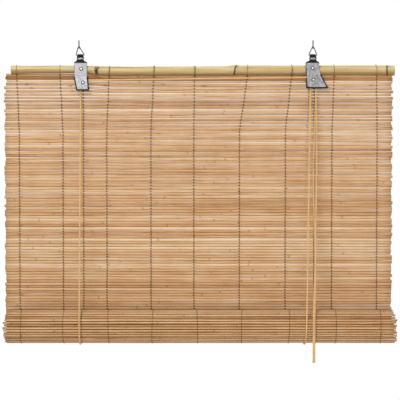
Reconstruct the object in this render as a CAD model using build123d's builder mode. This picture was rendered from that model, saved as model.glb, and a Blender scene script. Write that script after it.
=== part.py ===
from build123d import *
import math
import os

# Bamboo roll-up blind, hung from two ceiling hooks and rolled up about two thirds of the way.
# Frame: millimetres, +X to the right, +Z up, the room side is -Y. The origin lies on the
# ceiling plane, midway between the two hook screws.

# ---------------------------------------------------------------- hooks and rings
hook_spacing = 480.0
hook_wire = 2.2
hook_thread = 8.0
hook_bend = 3.6
hook_drop = 8.8
hook_tip = 3.6
ring_wire = 2.0
ring_width = 17.4
ring_bar_z = -23.0
ring_apex_bend = 2.6
ring_corner_bend = 1.6
link_clearance = 0.15
# the roll lies in front of the rings, so the blind hangs leaning back with its weight under them
hang_lean = 2.4

# ---------------------------------------------------------------- head pole, a bamboo culm
pole_left = -380.0
pole_right = 408.0
pole_front_y = -1.1
pole_wall = 2.6
node_flare = 1.3
node_half_width = 4.0
culm_nodes = (-203.0, 81.0, 393.0)
culm_radii = (8.3, 9.7, 10.5, 10.7)
culm_heights = (-52.0, -54.6, -53.3, -53.6)

# ---------------------------------------------------------------- screen
screen_left = -394.0
screen_right = 404.0
slat_width = 4.9
slat_thickness = 1.5
slat_top_z = -68.7
pitch_bound = 5.3
bound_slats = 3
pitch_top = 6.4
pitch_bottom = 5.5
thread_wire = 0.7
thread_clearance = 0.05
tie_wire = 1.4
tie_clearance = 0.1
thread_settle_z = -178.0
tie_x = (-368.5, -279.3, -178.7, -86.9, -3.1, 105.6, 196.4, 283.9, 371.2)
warp_x = (-364.0, -274.2, -184.0, -93.0, -4.5, 89.4, 184.0, 280.0, 373.0)
bracket_warp_x = (-232.0, 243.2)

# ---------------------------------------------------------------- rolled part of the screen
roll_radius = 34.0
roll_axis_z = -578.0
roll_shift_x = 5.0
roll_clearance = 0.3
rod_radius = 5.0
rod_clearance = 0.1
rod_inset = 3.0

# ---------------------------------------------------------------- hangers and brackets
sheet = 1.0
hanger_sheet = 1.2
bar_clearance = 0.3
eye_width = 11.5
neck_width = 14.5
shoulder_z = -33.6
shoulder_margin = 0.7
plate_top_z = -38.6
hanger_bottom_z = -62.0
plate_gap = 0.05
plate_lean = 1.2
back_plate_gap = 0.15
back_plate_margin = 1.4
screw_head_radius = 3.4
screw_head_height = 1.5
screw_radius = 1.5
screw_length = 8.0
screw_clearance = 0.1
axle_radius = 1.6
axle_head_radius = 3.2
axle_head_height = 1.1
axle_clearance = 0.05

left_x = -237.2
left_bend_z = -66.0
left_bottom_z = -93.0
left_top_span = (-11.8, 13.2)
left_bottom_span = (-7.0, 16.0)
left_screw = (2.0, -50.6)

right_x = 239.6
right_bend_z = -62.5
right_bottom_z = -88.5
right_top_span = (-14.2, 12.3)
right_bend_span = (-12.3, 15.2)
right_bottom_span = (-11.6, 29.0)
right_screw = (-0.6, -49.2)

# ---------------------------------------------------------------- pulleys and the cord lock
cord_wire = 2.8
groove_clearance = 0.3
pulley_rim = 0.9
pulley_width = 3.8
pulley_gap = 0.2
left_pulley_x = -231.8
left_pulley_z = -78.7
left_pulley_arc = 5.0
lock_pulley_x = 240.75
lock_pulley_z = -73.0
lock_pulley_arc = 5.35
roller_radius = 3.0
roller_gap = 0.05
roller_z = -80.5
roller_travel = 7.0
ramp_angle = 14.0
ramp_gap = 0.1
ramp_foot = 2.6
cord_hole = 3.8

# ---------------------------------------------------------------- cords
left_front_x = -236.8
left_back_x = -236.8
right_front_x = 224.6
right_back_x = 219.0
right_knot_x = 234.0
back_cord_gap = 0.4
sling_overlap_z = 12.0
sling_rise = 9.0
cord_seam = 0.1
strand_kink = 4.0
knot_radius = 3.4
pole_hole_radius = 1.9
pull_end_z = -647.0

# ---------------------------------------------------------------- derived places
screen_y = pole_front_y + culm_radii[1]
slat_front_y = screen_y - slat_thickness / 2
slat_back_y = screen_y + slat_thickness / 2
thread_front_y = slat_front_y - thread_clearance - thread_wire / 2
thread_back_y = slat_back_y + thread_clearance + thread_wire / 2
screen_front_y = thread_front_y - thread_wire / 2
screen_back_y = thread_back_y + thread_wire / 2
screen_centre_x = (screen_left + screen_right) / 2
screen_length = screen_right - screen_left
roll_y = screen_front_y - roll_clearance - roll_radius
sling_radius = roll_radius + roll_clearance + cord_wire / 2
back_cord_y = screen_back_y + back_cord_gap + cord_wire / 2

eye_inner = ring_wire / 2 + bar_clearance
eye_outer = eye_inner + hanger_sheet
hanger_back_y = -eye_inner
hanger_front_y = -eye_outer
sheet_back_y = hanger_front_y - plate_gap
sheet_front_y = sheet_back_y - sheet
back_plate_back_y = screen_front_y - back_plate_gap
back_plate_front_y = back_plate_back_y - sheet
housing_depth = back_plate_front_y - sheet_back_y

front_pulley_y = sheet_back_y + pulley_gap + pulley_width / 2
back_pulley_y = front_pulley_y + pulley_width + pulley_gap
left_pulley_y = (sheet_back_y + back_plate_front_y) / 2
pull_x = lock_pulley_x + lock_pulley_arc
lift_x = lock_pulley_x - lock_pulley_arc

os.makedirs("parts", exist_ok=True)


def hang(shape):
    """Turn a piece of the blind about the ring bars, to the lean at which it hangs."""
    bars = Axis((0, 0, ring_bar_z), (1, 0, 0))
    turned = shape.rotate(bars, hang_lean)
    turned.label = shape.label
    return turned


def culm_axis(x):
    """Return the height of the culm's axis and its radius at x, between its nodes."""
    part = sum(1 for node in culm_nodes if x > node)
    return culm_heights[part], culm_radii[part]


def culm_centre_y(radius):
    """Return the depth of the culm's axis: its front lies along one straight line."""
    return pole_front_y + radius


def slat_levels():
    """Return the heights of the slats, bound close at the top and wider spaced below."""
    levels = [slat_top_z]
    span = slat_top_z - roll_axis_z
    while levels[-1] - pitch_bottom > roll_axis_z + slat_width / 2:
        share = (slat_top_z - levels[-1]) / span
        pitch = pitch_top + (pitch_bottom - pitch_top) * share
        if len(levels) < bound_slats:
            pitch = pitch_bound
        levels.append(levels[-1] - pitch)
    return levels


def folded_block(side, outline):
    """Return what a side view (Y, Z) drawn out along X shares with a front view (X, Z)."""
    reach = 600.0
    with BuildPart() as block:
        with BuildSketch(Plane.YZ):
            with BuildLine():
                Polyline(*side, close=True)
            make_face()
        extrude(amount=reach, both=True)
        with BuildSketch(Plane.XZ):
            with BuildLine():
                Polyline(*outline, close=True)
            make_face()
        extrude(amount=reach, both=True, mode=Mode.INTERSECT)
    return block.part


def route_line(points, radii):
    """Return the straight runs of a route, joined by arcs of the given radii."""
    with BuildLine() as path:
        if radii:
            FilletPolyline(*points, radius=radii)
        else:
            Line(*points)
    return path.wire()


def tube(points, radii, wire):
    """Return a round tube of diameter wire along a route."""
    route = route_line(points, radii)
    with BuildPart() as run:
        with BuildSketch(Plane(route @ 0, z_dir=route % 0)):
            Circle(wire / 2)
        sweep(path=route)
    return run.part


def corner_turn(before, corner, after):
    """Return the turn at a corner of a route, in degrees."""
    leaving = Vector(*after) - Vector(*corner)
    return (Vector(*corner) - Vector(*before)).get_angle(leaving)


def run_length(start, end):
    """Return the length of a straight run."""
    return (Vector(*end) - Vector(*start)).length


def cord_tube(name, points, fixed=None):
    """Return a cord's tube. Its arcs are as large as their runs allow, or fixed by a pulley."""
    radii = []
    for i in range(1, len(points) - 1):
        turn = math.radians(corner_turn(*points[i - 1:i + 2]))
        shorter = min(run_length(points[i - 1], points[i]), run_length(points[i], points[i + 1]))
        radius = 0.45 * shorter / math.tan(turn / 2)
        if fixed and i in fixed:
            radius = fixed[i]
        radii.append(radius)
    body = tube(points, radii, cord_wire)
    length = route_line(points, radii).length
    share = body.volume / (math.pi * (cord_wire / 2) ** 2 * length)
    print(name, "length", round(length, 1), "volume share", round(share, 4))
    print("    radii", [round(radius, 1) for radius in radii])
    return body


def wrap_corners(centre, offsets, directions):
    """Return where tangent lines round a circle meet, as (across, up) pairs.

    directions are the ways of travel in degrees, from straight down and turning to the
    left; offsets are the distances of the lines from the centre.
    """
    corners = []
    for i in range(len(directions) - 1):
        first = math.radians(directions[i])
        turn = math.radians(directions[i + 1]) - first
        along = (offsets[i + 1] - offsets[i] * math.cos(turn)) / math.sin(turn)
        across = centre[0] + offsets[i] * math.cos(first) - along * math.sin(first)
        up = centre[1] - offsets[i] * math.sin(first) - along * math.cos(first)
        corners.append((across, up))
    return corners


# ---------------------------------------------------------------- where the front cords leave the roll
def front_tangent(start_y, start_z):
    """Return where a taut cord from a pulley meets the roll's cord circle, and its lean."""
    run_y = start_y - roll_y
    run_z = start_z - roll_axis_z
    lean = math.atan2(run_y, run_z) + math.asin(sling_radius / math.hypot(run_y, run_z))
    touch_y = roll_y - sling_radius * math.cos(lean)
    touch_z = roll_axis_z + sling_radius * math.sin(lean)
    return touch_y, touch_z, lean


# ================================================================ hooks and rings
def screw_hook(x):
    """Return a round-wire cup hook, its open side to the room, with its screw stub on top."""
    top = -hook_drop + 2 * hook_bend
    points = (
        (x, 0, hook_thread),
        (x, 0, top),
        (x, hook_bend, top),
        (x, hook_bend, -hook_drop),
        (x, -hook_bend, -hook_drop),
        (x, -hook_bend, -hook_drop + hook_bend + hook_tip / 2),
    )
    with BuildPart() as hook:
        with BuildLine() as path:
            FilletPolyline(*points, radius=[1.5, 2.0, 3.4, 3.4])
        with BuildSketch(Plane(path.line @ 0, z_dir=path.line % 0)):
            Circle(hook_wire / 2)
        sweep(path=path.line)
        edge = hook.edges().filter_by(GeomType.CIRCLE).sort_by(Axis.Z)[-1]
        chamfer(edge, 0.5)
    return hook.part


def wire_ring(hook_x, bar_x):
    """Return the bent wire triangle that hangs on a hook and carries a hanger on its bar."""
    apex_z = -hook_drop + hook_wire / 2 + link_clearance + ring_wire / 2
    half = ring_width / 2
    bend_z = apex_z - ring_apex_bend
    slopes = []
    for side in (1, -1):
        run_x = hook_x - bar_x - side * half
        run_z = bend_z - ring_bar_z
        spread = math.asin(ring_apex_bend / math.hypot(run_x, run_z))
        slopes.append(math.tan(math.atan2(run_z, run_x) - side * spread))
    right_slope, left_slope = slopes
    crossing = right_slope * (bar_x + half) - left_slope * (bar_x - half)
    tip_x = crossing / (right_slope - left_slope)
    tip_z = ring_bar_z + right_slope * (tip_x - bar_x - half)
    corners = ((tip_x, tip_z), (bar_x + half, ring_bar_z), (bar_x - half, ring_bar_z))
    bends = [ring_apex_bend, ring_corner_bend, ring_corner_bend]
    with BuildPart() as ring:
        with BuildLine(Plane.XZ) as path:
            FilletPolyline(*corners, radius=bends, close=True)
        with BuildSketch(Plane(path.line @ 0, z_dir=path.line % 0)):
            Circle(ring_wire / 2)
        sweep(path=path.line)
    return ring.part


for side, hook_x, bar_x in (
    ("left", -hook_spacing / 2, left_x),
    ("right", hook_spacing / 2, right_x),
):
    hook_part = screw_hook(hook_x)
    hook_part.label = side + "_ceiling_hook"
    export_step(hook_part, "parts/" + hook_part.label + ".step")
    ring_part = wire_ring(hook_x, bar_x)
    ring_part.label = side + "_wire_ring"
    export_step(ring_part, "parts/" + ring_part.label + ".step")


# ================================================================ head pole
def culm_stations():
    """Return (x, height, radius) of the pole's outer sections, with a ridge at each node."""
    ends = (pole_left,) + culm_nodes + (pole_right,)
    stations = [(pole_left, culm_heights[0], culm_radii[0])]
    for i, node in enumerate(culm_nodes):
        ridge = max(culm_radii[i], culm_radii[i + 1]) + node_flare
        middle = (culm_heights[i] + culm_heights[i + 1]) / 2
        stations.append((node - 3 * node_half_width, culm_heights[i], culm_radii[i]))
        stations.append((node - node_half_width / 4, middle, ridge))
        stations.append((node + node_half_width / 4, middle, ridge))
        if node + 3 * node_half_width < ends[i + 2]:
            stations.append((node + 3 * node_half_width, culm_heights[i + 1], culm_radii[i + 1]))
    stations.append((pole_right, culm_heights[-1], culm_radii[-1]))
    return stations


with BuildPart() as head_pole:
    for x, height, radius in culm_stations():
        flush = min(radius, culm_axis(x)[1])
        with BuildSketch(Plane.YZ.offset(x)):
            with Locations((culm_centre_y(flush), height)):
                Circle(radius)
    loft(ruled=True)
    starts = (pole_left - 1.0,) + tuple(n + node_half_width for n in culm_nodes)
    stops = tuple(n - node_half_width for n in culm_nodes) + (pole_right + 1.0,)
    for start, stop, height, radius in zip(starts, stops, culm_heights, culm_radii):
        with BuildSketch(Plane.YZ.offset(start)):
            with Locations((culm_centre_y(radius), height)):
                Circle(radius - pole_wall)
        extrude(amount=stop - start, mode=Mode.SUBTRACT)
    with BuildSketch(Plane.XY):
        with Locations((left_back_x, back_cord_y), (right_knot_x, back_cord_y)):
            Circle(pole_hole_radius)
    extrude(amount=-100.0, mode=Mode.SUBTRACT)
    for x, z in (
        (left_x + left_screw[0], left_screw[1]),
        (right_x + right_screw[0], right_screw[1]),
    ):
        with BuildSketch(Plane.XZ.offset(-sheet_front_y - screw_length - screw_clearance)):
            with Locations((x, z)):
                Circle(screw_radius + screw_clearance)
        extrude(amount=screw_length, mode=Mode.SUBTRACT)
head_pole.part.label = "head_pole"
export_step(hang(head_pole.part), "parts/head_pole.step")

with BuildPart() as pole_ties:
    for x in tie_x:
        height, radius = culm_axis(x)
        with BuildSketch(Plane.YZ.offset(x - tie_wire / 2)):
            with Locations((culm_centre_y(radius), height)):
                Circle(radius + tie_clearance + tie_wire)
                Circle(radius + tie_clearance, mode=Mode.SUBTRACT)
        extrude(amount=tie_wire)
pole_ties.part.label = "pole_ties"
export_step(hang(pole_ties.part), "parts/pole_ties.step")

# ================================================================ screen
with BuildPart() as screen_slats:
    with Locations(*[(screen_centre_x, screen_y, level) for level in slat_levels()]):
        Box(screen_length, slat_thickness, slat_width)
screen_slats.part.label = "screen_slats"
export_step(hang(screen_slats.part), "parts/screen_slats.step")


def thread_runs(top_x, low_x, y):
    """Return the route of one warp thread, which slants in from its tie and then hangs."""
    height, radius = culm_axis(top_x)
    top_z = height - radius - tie_clearance - tie_wire - tie_clearance
    if top_x == low_x:
        return ((top_x, y, hanger_bottom_z - 4.0), (low_x, y, roll_axis_z)), []
    return ((top_x, y, top_z), (low_x, y, thread_settle_z), (low_x, y, roll_axis_z)), [400.0]


with BuildPart() as warp_threads:
    for top, low in tuple(zip(tie_x, warp_x)) + tuple(zip(bracket_warp_x, bracket_warp_x)):
        for y in (thread_front_y, thread_back_y):
            add(tube(*thread_runs(top, low, y), thread_wire))
warp_threads.part.label = "warp_threads"
export_step(hang(warp_threads.part), "parts/warp_threads.step")

# ================================================================ rolled screen and its rod
roll_left = screen_left + roll_shift_x
with BuildPart() as rolled_screen:
    with BuildSketch(Plane.YZ.offset(roll_left)):
        with Locations((roll_y, roll_axis_z)):
            Circle(roll_radius)
            Circle(rod_radius + rod_clearance, mode=Mode.SUBTRACT)
    extrude(amount=screen_length)
rolled_screen.part.label = "rolled_screen"
export_step(hang(rolled_screen.part), "parts/rolled_screen.step")

with BuildPart() as bottom_rod:
    with BuildSketch(Plane.YZ.offset(roll_left + rod_inset)):
        with Locations((roll_y, roll_axis_z)):
            Circle(rod_radius)
    extrude(amount=screen_length - 2 * rod_inset)
    chamfer(bottom_rod.edges().filter_by(GeomType.CIRCLE), 0.6)
bottom_rod.part.label = "bottom_rod"
export_step(hang(bottom_rod.part), "parts/bottom_rod.step")


# ================================================================ hangers
def hanger(x, top_span, screw):
    """Return a black strap: an eye curled round the ring's bar, a neck and a shouldered plate."""
    left, right = top_span
    with BuildPart() as strap:
        with BuildSketch(Plane.YZ.offset(x - eye_width / 2)):
            with Locations((0, ring_bar_z)):
                Circle(eye_outer)
                Circle(eye_inner, mode=Mode.SUBTRACT)
        extrude(amount=eye_width)
        with BuildSketch(Plane.XZ.offset(-hanger_back_y)):
            with BuildLine():
                Polyline(
                    (x - eye_width / 2, ring_bar_z),
                    (x + eye_width / 2, ring_bar_z),
                    (x + neck_width / 2, ring_bar_z - 3.5),
                    (x + neck_width / 2, shoulder_z),
                    (x + right + shoulder_margin, plate_top_z + 1.4),
                    (x + right + shoulder_margin, plate_top_z - 6.0),
                    (x + right, hanger_bottom_z),
                    (x + left, hanger_bottom_z),
                    (x + left - shoulder_margin, plate_top_z - 6.0),
                    (x + left - shoulder_margin, plate_top_z + 1.4),
                    (x - neck_width / 2, shoulder_z),
                    (x - neck_width / 2, ring_bar_z - 3.5),
                    close=True,
                )
            make_face()
        extrude(amount=hanger_sheet)
        fillet(strap.edges().filter_by(Axis.Y).group_by(Axis.Z)[1:3], 1.5)
        with BuildSketch(Plane.XZ):
            with Locations((x + screw[0], screw[1])):
                Circle(screw_radius + screw_clearance)
        extrude(amount=20.0, both=True, mode=Mode.SUBTRACT)
    return strap.part


for side, x, span, screw in (
    ("left", left_x, left_top_span, left_screw),
    ("right", right_x, right_top_span, right_screw),
):
    hanger_part = hanger(x, span, screw)
    hanger_part.label = side + "_hanger"
    export_step(hang(hanger_part), "parts/" + hanger_part.label + ".step")


# ================================================================ bracket housings
def bent_sheet(bend_z, bottom_z):
    """Return the side view of the front sheet, upright on the pole and leaning out below."""
    return (
        (sheet_front_y, plate_top_z),
        (sheet_front_y, bend_z),
        (sheet_front_y - plate_lean, bottom_z),
        (sheet_back_y - plate_lean, bottom_z),
        (sheet_back_y, bend_z),
        (sheet_back_y, plate_top_z),
    )


def housing(x, bend_z, bottom_z, spans, screw, axle):
    """Return a zinc housing: a front sheet bent below the pole, with two side walls."""
    top, bend, bottom = spans
    outline = (
        (x + top[0], plate_top_z),
        (x + top[1], plate_top_z),
        (x + bend[1], bend_z),
        (x + bottom[1], bottom_z),
        (x + bottom[0], bottom_z),
        (x + bend[0], bend_z),
    )
    wall_top = bend_z - 1.0
    wall_height = wall_top - bottom_z
    lower = (
        (x + bend[0], wall_top),
        (x + bend[1], wall_top),
        (x + bottom[1], bottom_z),
        (x + bottom[0], bottom_z),
    )
    slant = ((bottom[0] - bend[0]) / wall_height, (bottom[1] - bend[1]) / wall_height)
    inner = (
        (x + bend[0] + sheet - slant[0], wall_top + 1.0),
        (x + bend[1] - sheet - slant[1], wall_top + 1.0),
        (x + bottom[1] - sheet + slant[1], bottom_z - 1.0),
        (x + bottom[0] + sheet + slant[0], bottom_z - 1.0),
    )
    back = back_plate_front_y - back_plate_gap
    solid_side = (
        (sheet_front_y, wall_top),
        (sheet_front_y - plate_lean, bottom_z),
        (back, bottom_z),
        (back, wall_top),
    )
    hollow_side = (
        (sheet_back_y, wall_top + 1.0),
        (sheet_back_y - plate_lean, bottom_z - 1.0),
        (back + 1.0, bottom_z - 1.0),
        (back + 1.0, wall_top + 1.0),
    )
    with BuildPart() as body:
        add(folded_block(solid_side, lower))
        add(folded_block(hollow_side, inner), mode=Mode.SUBTRACT)
        add(folded_block(bent_sheet(bend_z, bottom_z), outline))
        with BuildSketch(Plane.XZ):
            with Locations((x + screw[0], screw[1])):
                Circle(screw_radius + screw_clearance)
            with Locations(axle):
                Circle(axle_radius + axle_clearance)
        extrude(amount=20.0, both=True, mode=Mode.SUBTRACT)
        upright = body.edges().filter_by(Axis.Y).sort_by(Axis.Z)
        fillet(upright[-2:], 2.0)
    return body


left_axle = (left_pulley_x, left_pulley_z)
lock_axle = (lock_pulley_x, lock_pulley_z)
left_run_z = left_pulley_z + left_pulley_arc
lock_run_z = lock_pulley_z + lock_pulley_arc
left_bend_span = left_top_span

left_spans = (left_top_span, left_bend_span, left_bottom_span)
left_body = housing(left_x, left_bend_z, left_bottom_z, left_spans, left_screw, left_axle)
with BuildPart() as left_housing:
    add(left_body.part)
    with BuildSketch(Plane.YZ.offset(left_pulley_x)):
        with Locations((left_pulley_y, left_run_z)):
            SlotOverall(cord_hole + 2.0, cord_hole)
    extrude(amount=30.0, mode=Mode.SUBTRACT)
left_housing.part.label = "left_pulley_housing"
export_step(hang(left_housing.part), "parts/left_pulley_housing.step")

roller_x = pull_x + cord_wire / 2 + roller_gap + roller_radius
ramp_tilt = math.radians(ramp_angle)


def ramp_point(along, out):
    """Return (x, z) of a point along the roller's way up and out towards the ramp."""
    return (
        roller_x + along * math.sin(ramp_tilt) + out * math.cos(ramp_tilt),
        roller_z + along * math.cos(ramp_tilt) - out * math.sin(ramp_tilt),
    )


lock_spans = (right_top_span, right_bend_span, right_bottom_span)
lock_body = housing(right_x, right_bend_z, right_bottom_z, lock_spans, right_screw, lock_axle)
ramp_face = roller_radius + ramp_gap
ramp_end = roller_travel + roller_radius + ramp_gap
with BuildPart() as lock_housing:
    add(lock_body.part)
    with BuildSketch(Plane.XZ.offset(plate_lean - sheet_back_y)):
        with BuildLine():
            Polyline(
                ramp_point(ramp_end, ramp_face),
                ramp_point(-ramp_face, ramp_face),
                ramp_point(-ramp_face, ramp_face - ramp_foot),
                ramp_point(-ramp_face - sheet, ramp_face - ramp_foot),
                ramp_point(-ramp_face - sheet, ramp_face + sheet),
                ramp_point(ramp_end, ramp_face + sheet),
                close=True,
            )
        make_face()
    extrude(amount=-(housing_depth + plate_lean - back_plate_gap))
    with BuildSketch(Plane.YZ.offset(lock_pulley_x)):
        with Locations((front_pulley_y, lock_run_z)):
            Circle(cord_hole / 2)
    extrude(amount=-30.0, mode=Mode.SUBTRACT)
lock_housing.part.label = "cord_lock_housing"
export_step(hang(lock_housing.part), "parts/cord_lock_housing.step")


def back_plate(x, bend_z, bottom_z, bend, bottom, axle):
    """Return the black plate that closes a housing behind its pulleys."""
    margin = back_plate_margin
    outline = (
        (x + bend[0] - margin, bend_z - 2.0),
        (x + bend[1] + margin, bend_z - 2.0),
        (x + bottom[1] + margin, bottom_z - margin),
        (x + bottom[0] - margin, bottom_z - margin),
    )
    with BuildPart() as plate:
        with BuildSketch(Plane.XZ.offset(-back_plate_back_y)):
            with BuildLine():
                Polyline(*outline, close=True)
            make_face()
            with Locations(axle):
                Circle(axle_radius + axle_clearance, mode=Mode.SUBTRACT)
        extrude(amount=sheet)
        fillet(plate.edges().filter_by(Axis.Y).filter_by(GeomType.LINE), 1.5)
    return plate


left_back = back_plate(
    left_x, left_bend_z, left_bottom_z, left_bend_span, left_bottom_span, left_axle
)
left_back.part.label = "left_back_plate"
export_step(hang(left_back.part), "parts/left_back_plate.step")

lock_back = back_plate(
    right_x, right_bend_z, right_bottom_z, right_bend_span, right_bottom_span, lock_axle
)
lock_back.part.label = "cord_lock_back_plate"
export_step(hang(lock_back.part), "parts/cord_lock_back_plate.step")


# ================================================================ screws, axles and pulleys
def sheet_front_at(z, bend_z, bottom_z):
    """Return the depth of a housing's front face at a height."""
    share = max(0.0, (bend_z - z) / (bend_z - bottom_z))
    return sheet_front_y - plate_lean * share


def pole_screw(x, z):
    """Return the round-head screw that holds a housing and its hanger to the pole."""
    with BuildPart() as screw:
        with BuildSketch(Plane.XZ.offset(-sheet_front_y)):
            with Locations((x, z)):
                Circle(screw_head_radius)
        extrude(amount=screw_head_height)
        fillet(screw.faces().sort_by(Axis.Y)[0].edges(), screw_head_height * 0.6)
        with BuildSketch(screw.faces().sort_by(Axis.Y)[0]):
            Rectangle(screw_head_radius * 1.5, 0.7)
        extrude(amount=-0.6, mode=Mode.SUBTRACT)
        with BuildSketch(Plane.XZ.offset(-sheet_front_y)):
            with Locations((x, z)):
                Circle(screw_radius)
        extrude(amount=-screw_length)
    return screw


left_screw_part = pole_screw(left_x + left_screw[0], left_screw[1])
left_screw_part.part.label = "left_pole_screw"
export_step(hang(left_screw_part.part), "parts/left_pole_screw.step")

right_screw_part = pole_screw(right_x + right_screw[0], right_screw[1])
right_screw_part.part.label = "right_pole_screw"
export_step(hang(right_screw_part.part), "parts/right_pole_screw.step")


def rivet_axle(axle, bend_z, bottom_z):
    """Return the hollow-ended rivet on which the pulleys turn."""
    head_y = sheet_front_at(axle[1] - axle_head_radius, bend_z, bottom_z) - axle_clearance
    with BuildPart() as rivet:
        with BuildSketch(Plane.XZ.offset(-head_y)):
            with Locations(axle):
                Circle(axle_head_radius)
        extrude(amount=axle_head_height)
        fillet(rivet.faces().sort_by(Axis.Y)[0].edges(), axle_head_height * 0.6)
        with BuildSketch(Plane.XZ.offset(-head_y)):
            with Locations(axle):
                Circle(axle_radius)
        extrude(amount=head_y - back_plate_back_y)
        with BuildSketch(Plane.XZ.offset(-head_y + axle_head_height)):
            with Locations(axle):
                Circle(axle_radius * 0.6)
        extrude(amount=-2.0, mode=Mode.SUBTRACT)
    return rivet


left_rivet = rivet_axle(left_axle, left_bend_z, left_bottom_z)
left_rivet.part.label = "left_pulley_axle"
export_step(hang(left_rivet.part), "parts/left_pulley_axle.step")

lock_rivet = rivet_axle(lock_axle, right_bend_z, right_bottom_z)
lock_rivet.part.label = "cord_lock_axle"
export_step(hang(lock_rivet.part), "parts/cord_lock_axle.step")


def pulley(axle, middle_y, arc):
    """Return a grooved pulley whose groove just clears a cord bent to the arc."""
    groove = cord_wire / 2 + groove_clearance
    half = pulley_width / 2
    with BuildPart() as wheel:
        with BuildSketch(Plane.XZ.offset(-middle_y - half)):
            with Locations(axle):
                Circle(arc + pulley_rim)
                Circle(axle_radius + axle_clearance, mode=Mode.SUBTRACT)
        extrude(amount=pulley_width)
        centre = (axle[0], middle_y, axle[1])
        with BuildSketch(Plane(origin=centre, x_dir=(1, 0, 0), z_dir=(0, 0, 1))):
            with Locations((arc, 0)):
                Circle(groove)
        revolve(axis=Axis(centre, (0, 1, 0)), mode=Mode.SUBTRACT)
    return wheel


left_wheel = pulley(left_axle, left_pulley_y, left_pulley_arc)
left_wheel.part.label = "left_pulley"
export_step(hang(left_wheel.part), "parts/left_pulley.step")

front_wheel = pulley(lock_axle, front_pulley_y, lock_pulley_arc)
front_wheel.part.label = "lock_front_pulley"
export_step(hang(front_wheel.part), "parts/lock_front_pulley.step")

back_wheel = pulley(lock_axle, back_pulley_y, lock_pulley_arc)
back_wheel.part.label = "lock_back_pulley"
export_step(hang(back_wheel.part), "parts/lock_back_pulley.step")

roller_length = housing_depth - 2 * pulley_gap
with BuildPart() as lock_roller:
    with BuildSketch(Plane.XZ.offset(-sheet_back_y - pulley_gap)):
        with Locations((roller_x, roller_z)):
            Circle(roller_radius)
    extrude(amount=-roller_length)
    chamfer(lock_roller.edges().filter_by(GeomType.CIRCLE), 0.4)
lock_roller.part.label = "lock_roller"
export_step(hang(lock_roller.part), "parts/lock_roller.step")


# ================================================================ cords
def strand_join(top, low_x):
    """Return where a front strand from the top of its pulley meets its sling, and its lean."""
    touch_y, touch_z, lean = front_tangent(top[1], top[2])
    share = sling_rise / math.hypot(touch_y - top[1], touch_z - top[2])
    join = (
        low_x + (top[0] - low_x) * share,
        touch_y + (top[1] - touch_y) * share,
        touch_z + (top[2] - touch_z) * share,
    )
    return join, math.degrees(lean)


def sling(name, join, lean, front_x, back_x):
    """Return the bight of cord that carries the roll, from behind the screen to the front."""
    directions = (0.0, 38.0, 76.0, 114.0, 152.0, 180.0 + lean)
    offsets = (back_cord_y - roll_y,) + (sling_radius,) * 5
    corners = wrap_corners((roll_y, roll_axis_z), offsets, directions)
    points = [(back_x, back_cord_y, roll_axis_z + sling_overlap_z)]
    for i, (y, z) in enumerate(corners):
        share = (i + 1) / (len(corners) + 1)
        points.append((back_x + (front_x - back_x) * share, y, z))
    points.append(join)
    return cord_tube(name, points)


left_kink = (left_front_x, left_pulley_y, left_pulley_z - strand_kink)
lock_kink = (lift_x, back_pulley_y, lock_pulley_z - strand_kink)
left_join, left_lean = strand_join(left_kink, left_front_x)
right_join, right_lean = strand_join(lock_kink, right_front_x)

left_sling = sling("left_sling", left_join, left_lean, left_front_x, left_back_x)
left_sling.label = "left_sling_cord"
export_step(hang(left_sling), "parts/left_sling_cord.step")

right_sling = sling("right_sling", right_join, right_lean, right_front_x, right_back_x)
right_sling.label = "right_sling_cord"
export_step(hang(right_sling), "parts/right_sling_cord.step")


def back_strand(name, low_x, knot_x):
    """Return the strand behind the screen, from its knot on the pole down to its sling."""
    height, radius = culm_axis(knot_x)
    rise = math.sqrt(radius ** 2 - (back_cord_y - culm_centre_y(radius)) ** 2)
    knot_z = height + rise
    low_z = roll_axis_z + sling_overlap_z + cord_seam
    points = [(knot_x, back_cord_y, knot_z + knot_radius), (low_x, back_cord_y, low_z)]
    return cord_tube(name, points), knot_z


left_back_cord, left_knot_z = back_strand("left_back", left_back_x, left_back_x)
left_back_cord.label = "left_back_cord"
export_step(hang(left_back_cord), "parts/left_back_cord.step")

right_back_cord, right_knot_z = back_strand("right_back", right_back_x, right_knot_x)
right_back_cord.label = "right_back_cord"
export_step(hang(right_back_cord), "parts/right_back_cord.step")


def stopper_knot(x, z):
    """Return the overhand knot that stops a back strand on top of the pole."""
    with BuildPart() as knot:
        with Locations((x, back_cord_y, z + knot_radius + 0.9)):
            Sphere(knot_radius)
        with Locations((x, back_cord_y, z)):
            Cylinder(
                cord_wire / 2 + 0.03,
                2 * knot_radius,
                align=(Align.CENTER, Align.CENTER, Align.MIN),
                mode=Mode.SUBTRACT,
            )
    return knot


left_knot = stopper_knot(left_back_x, left_knot_z)
left_knot.part.label = "left_cord_knot"
export_step(hang(left_knot.part), "parts/left_cord_knot.step")

right_knot = stopper_knot(right_knot_x, right_knot_z)
right_knot.part.label = "right_cord_knot"
export_step(hang(right_knot.part), "parts/right_cord_knot.step")

lock_exit_z = right_bottom_z


def lifted(join, top):
    """Return a strand's lower end, a seam's width above its sling's end."""
    share = cord_seam / run_length(join, top)
    return tuple(low + (high - low) * share for low, high in zip(join, top))


left_lift_route = [
    lifted(left_join, left_kink),
    left_kink,
    (left_front_x, left_pulley_y, left_run_z),
    (pull_x, front_pulley_y, lock_run_z),
    (pull_x, front_pulley_y, lock_exit_z),
]
left_lift_cord = cord_tube("left_lift", left_lift_route, {2: left_pulley_arc, 3: lock_pulley_arc})
left_lift_cord.label = "left_lift_cord"
export_step(hang(left_lift_cord), "parts/left_lift_cord.step")

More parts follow.
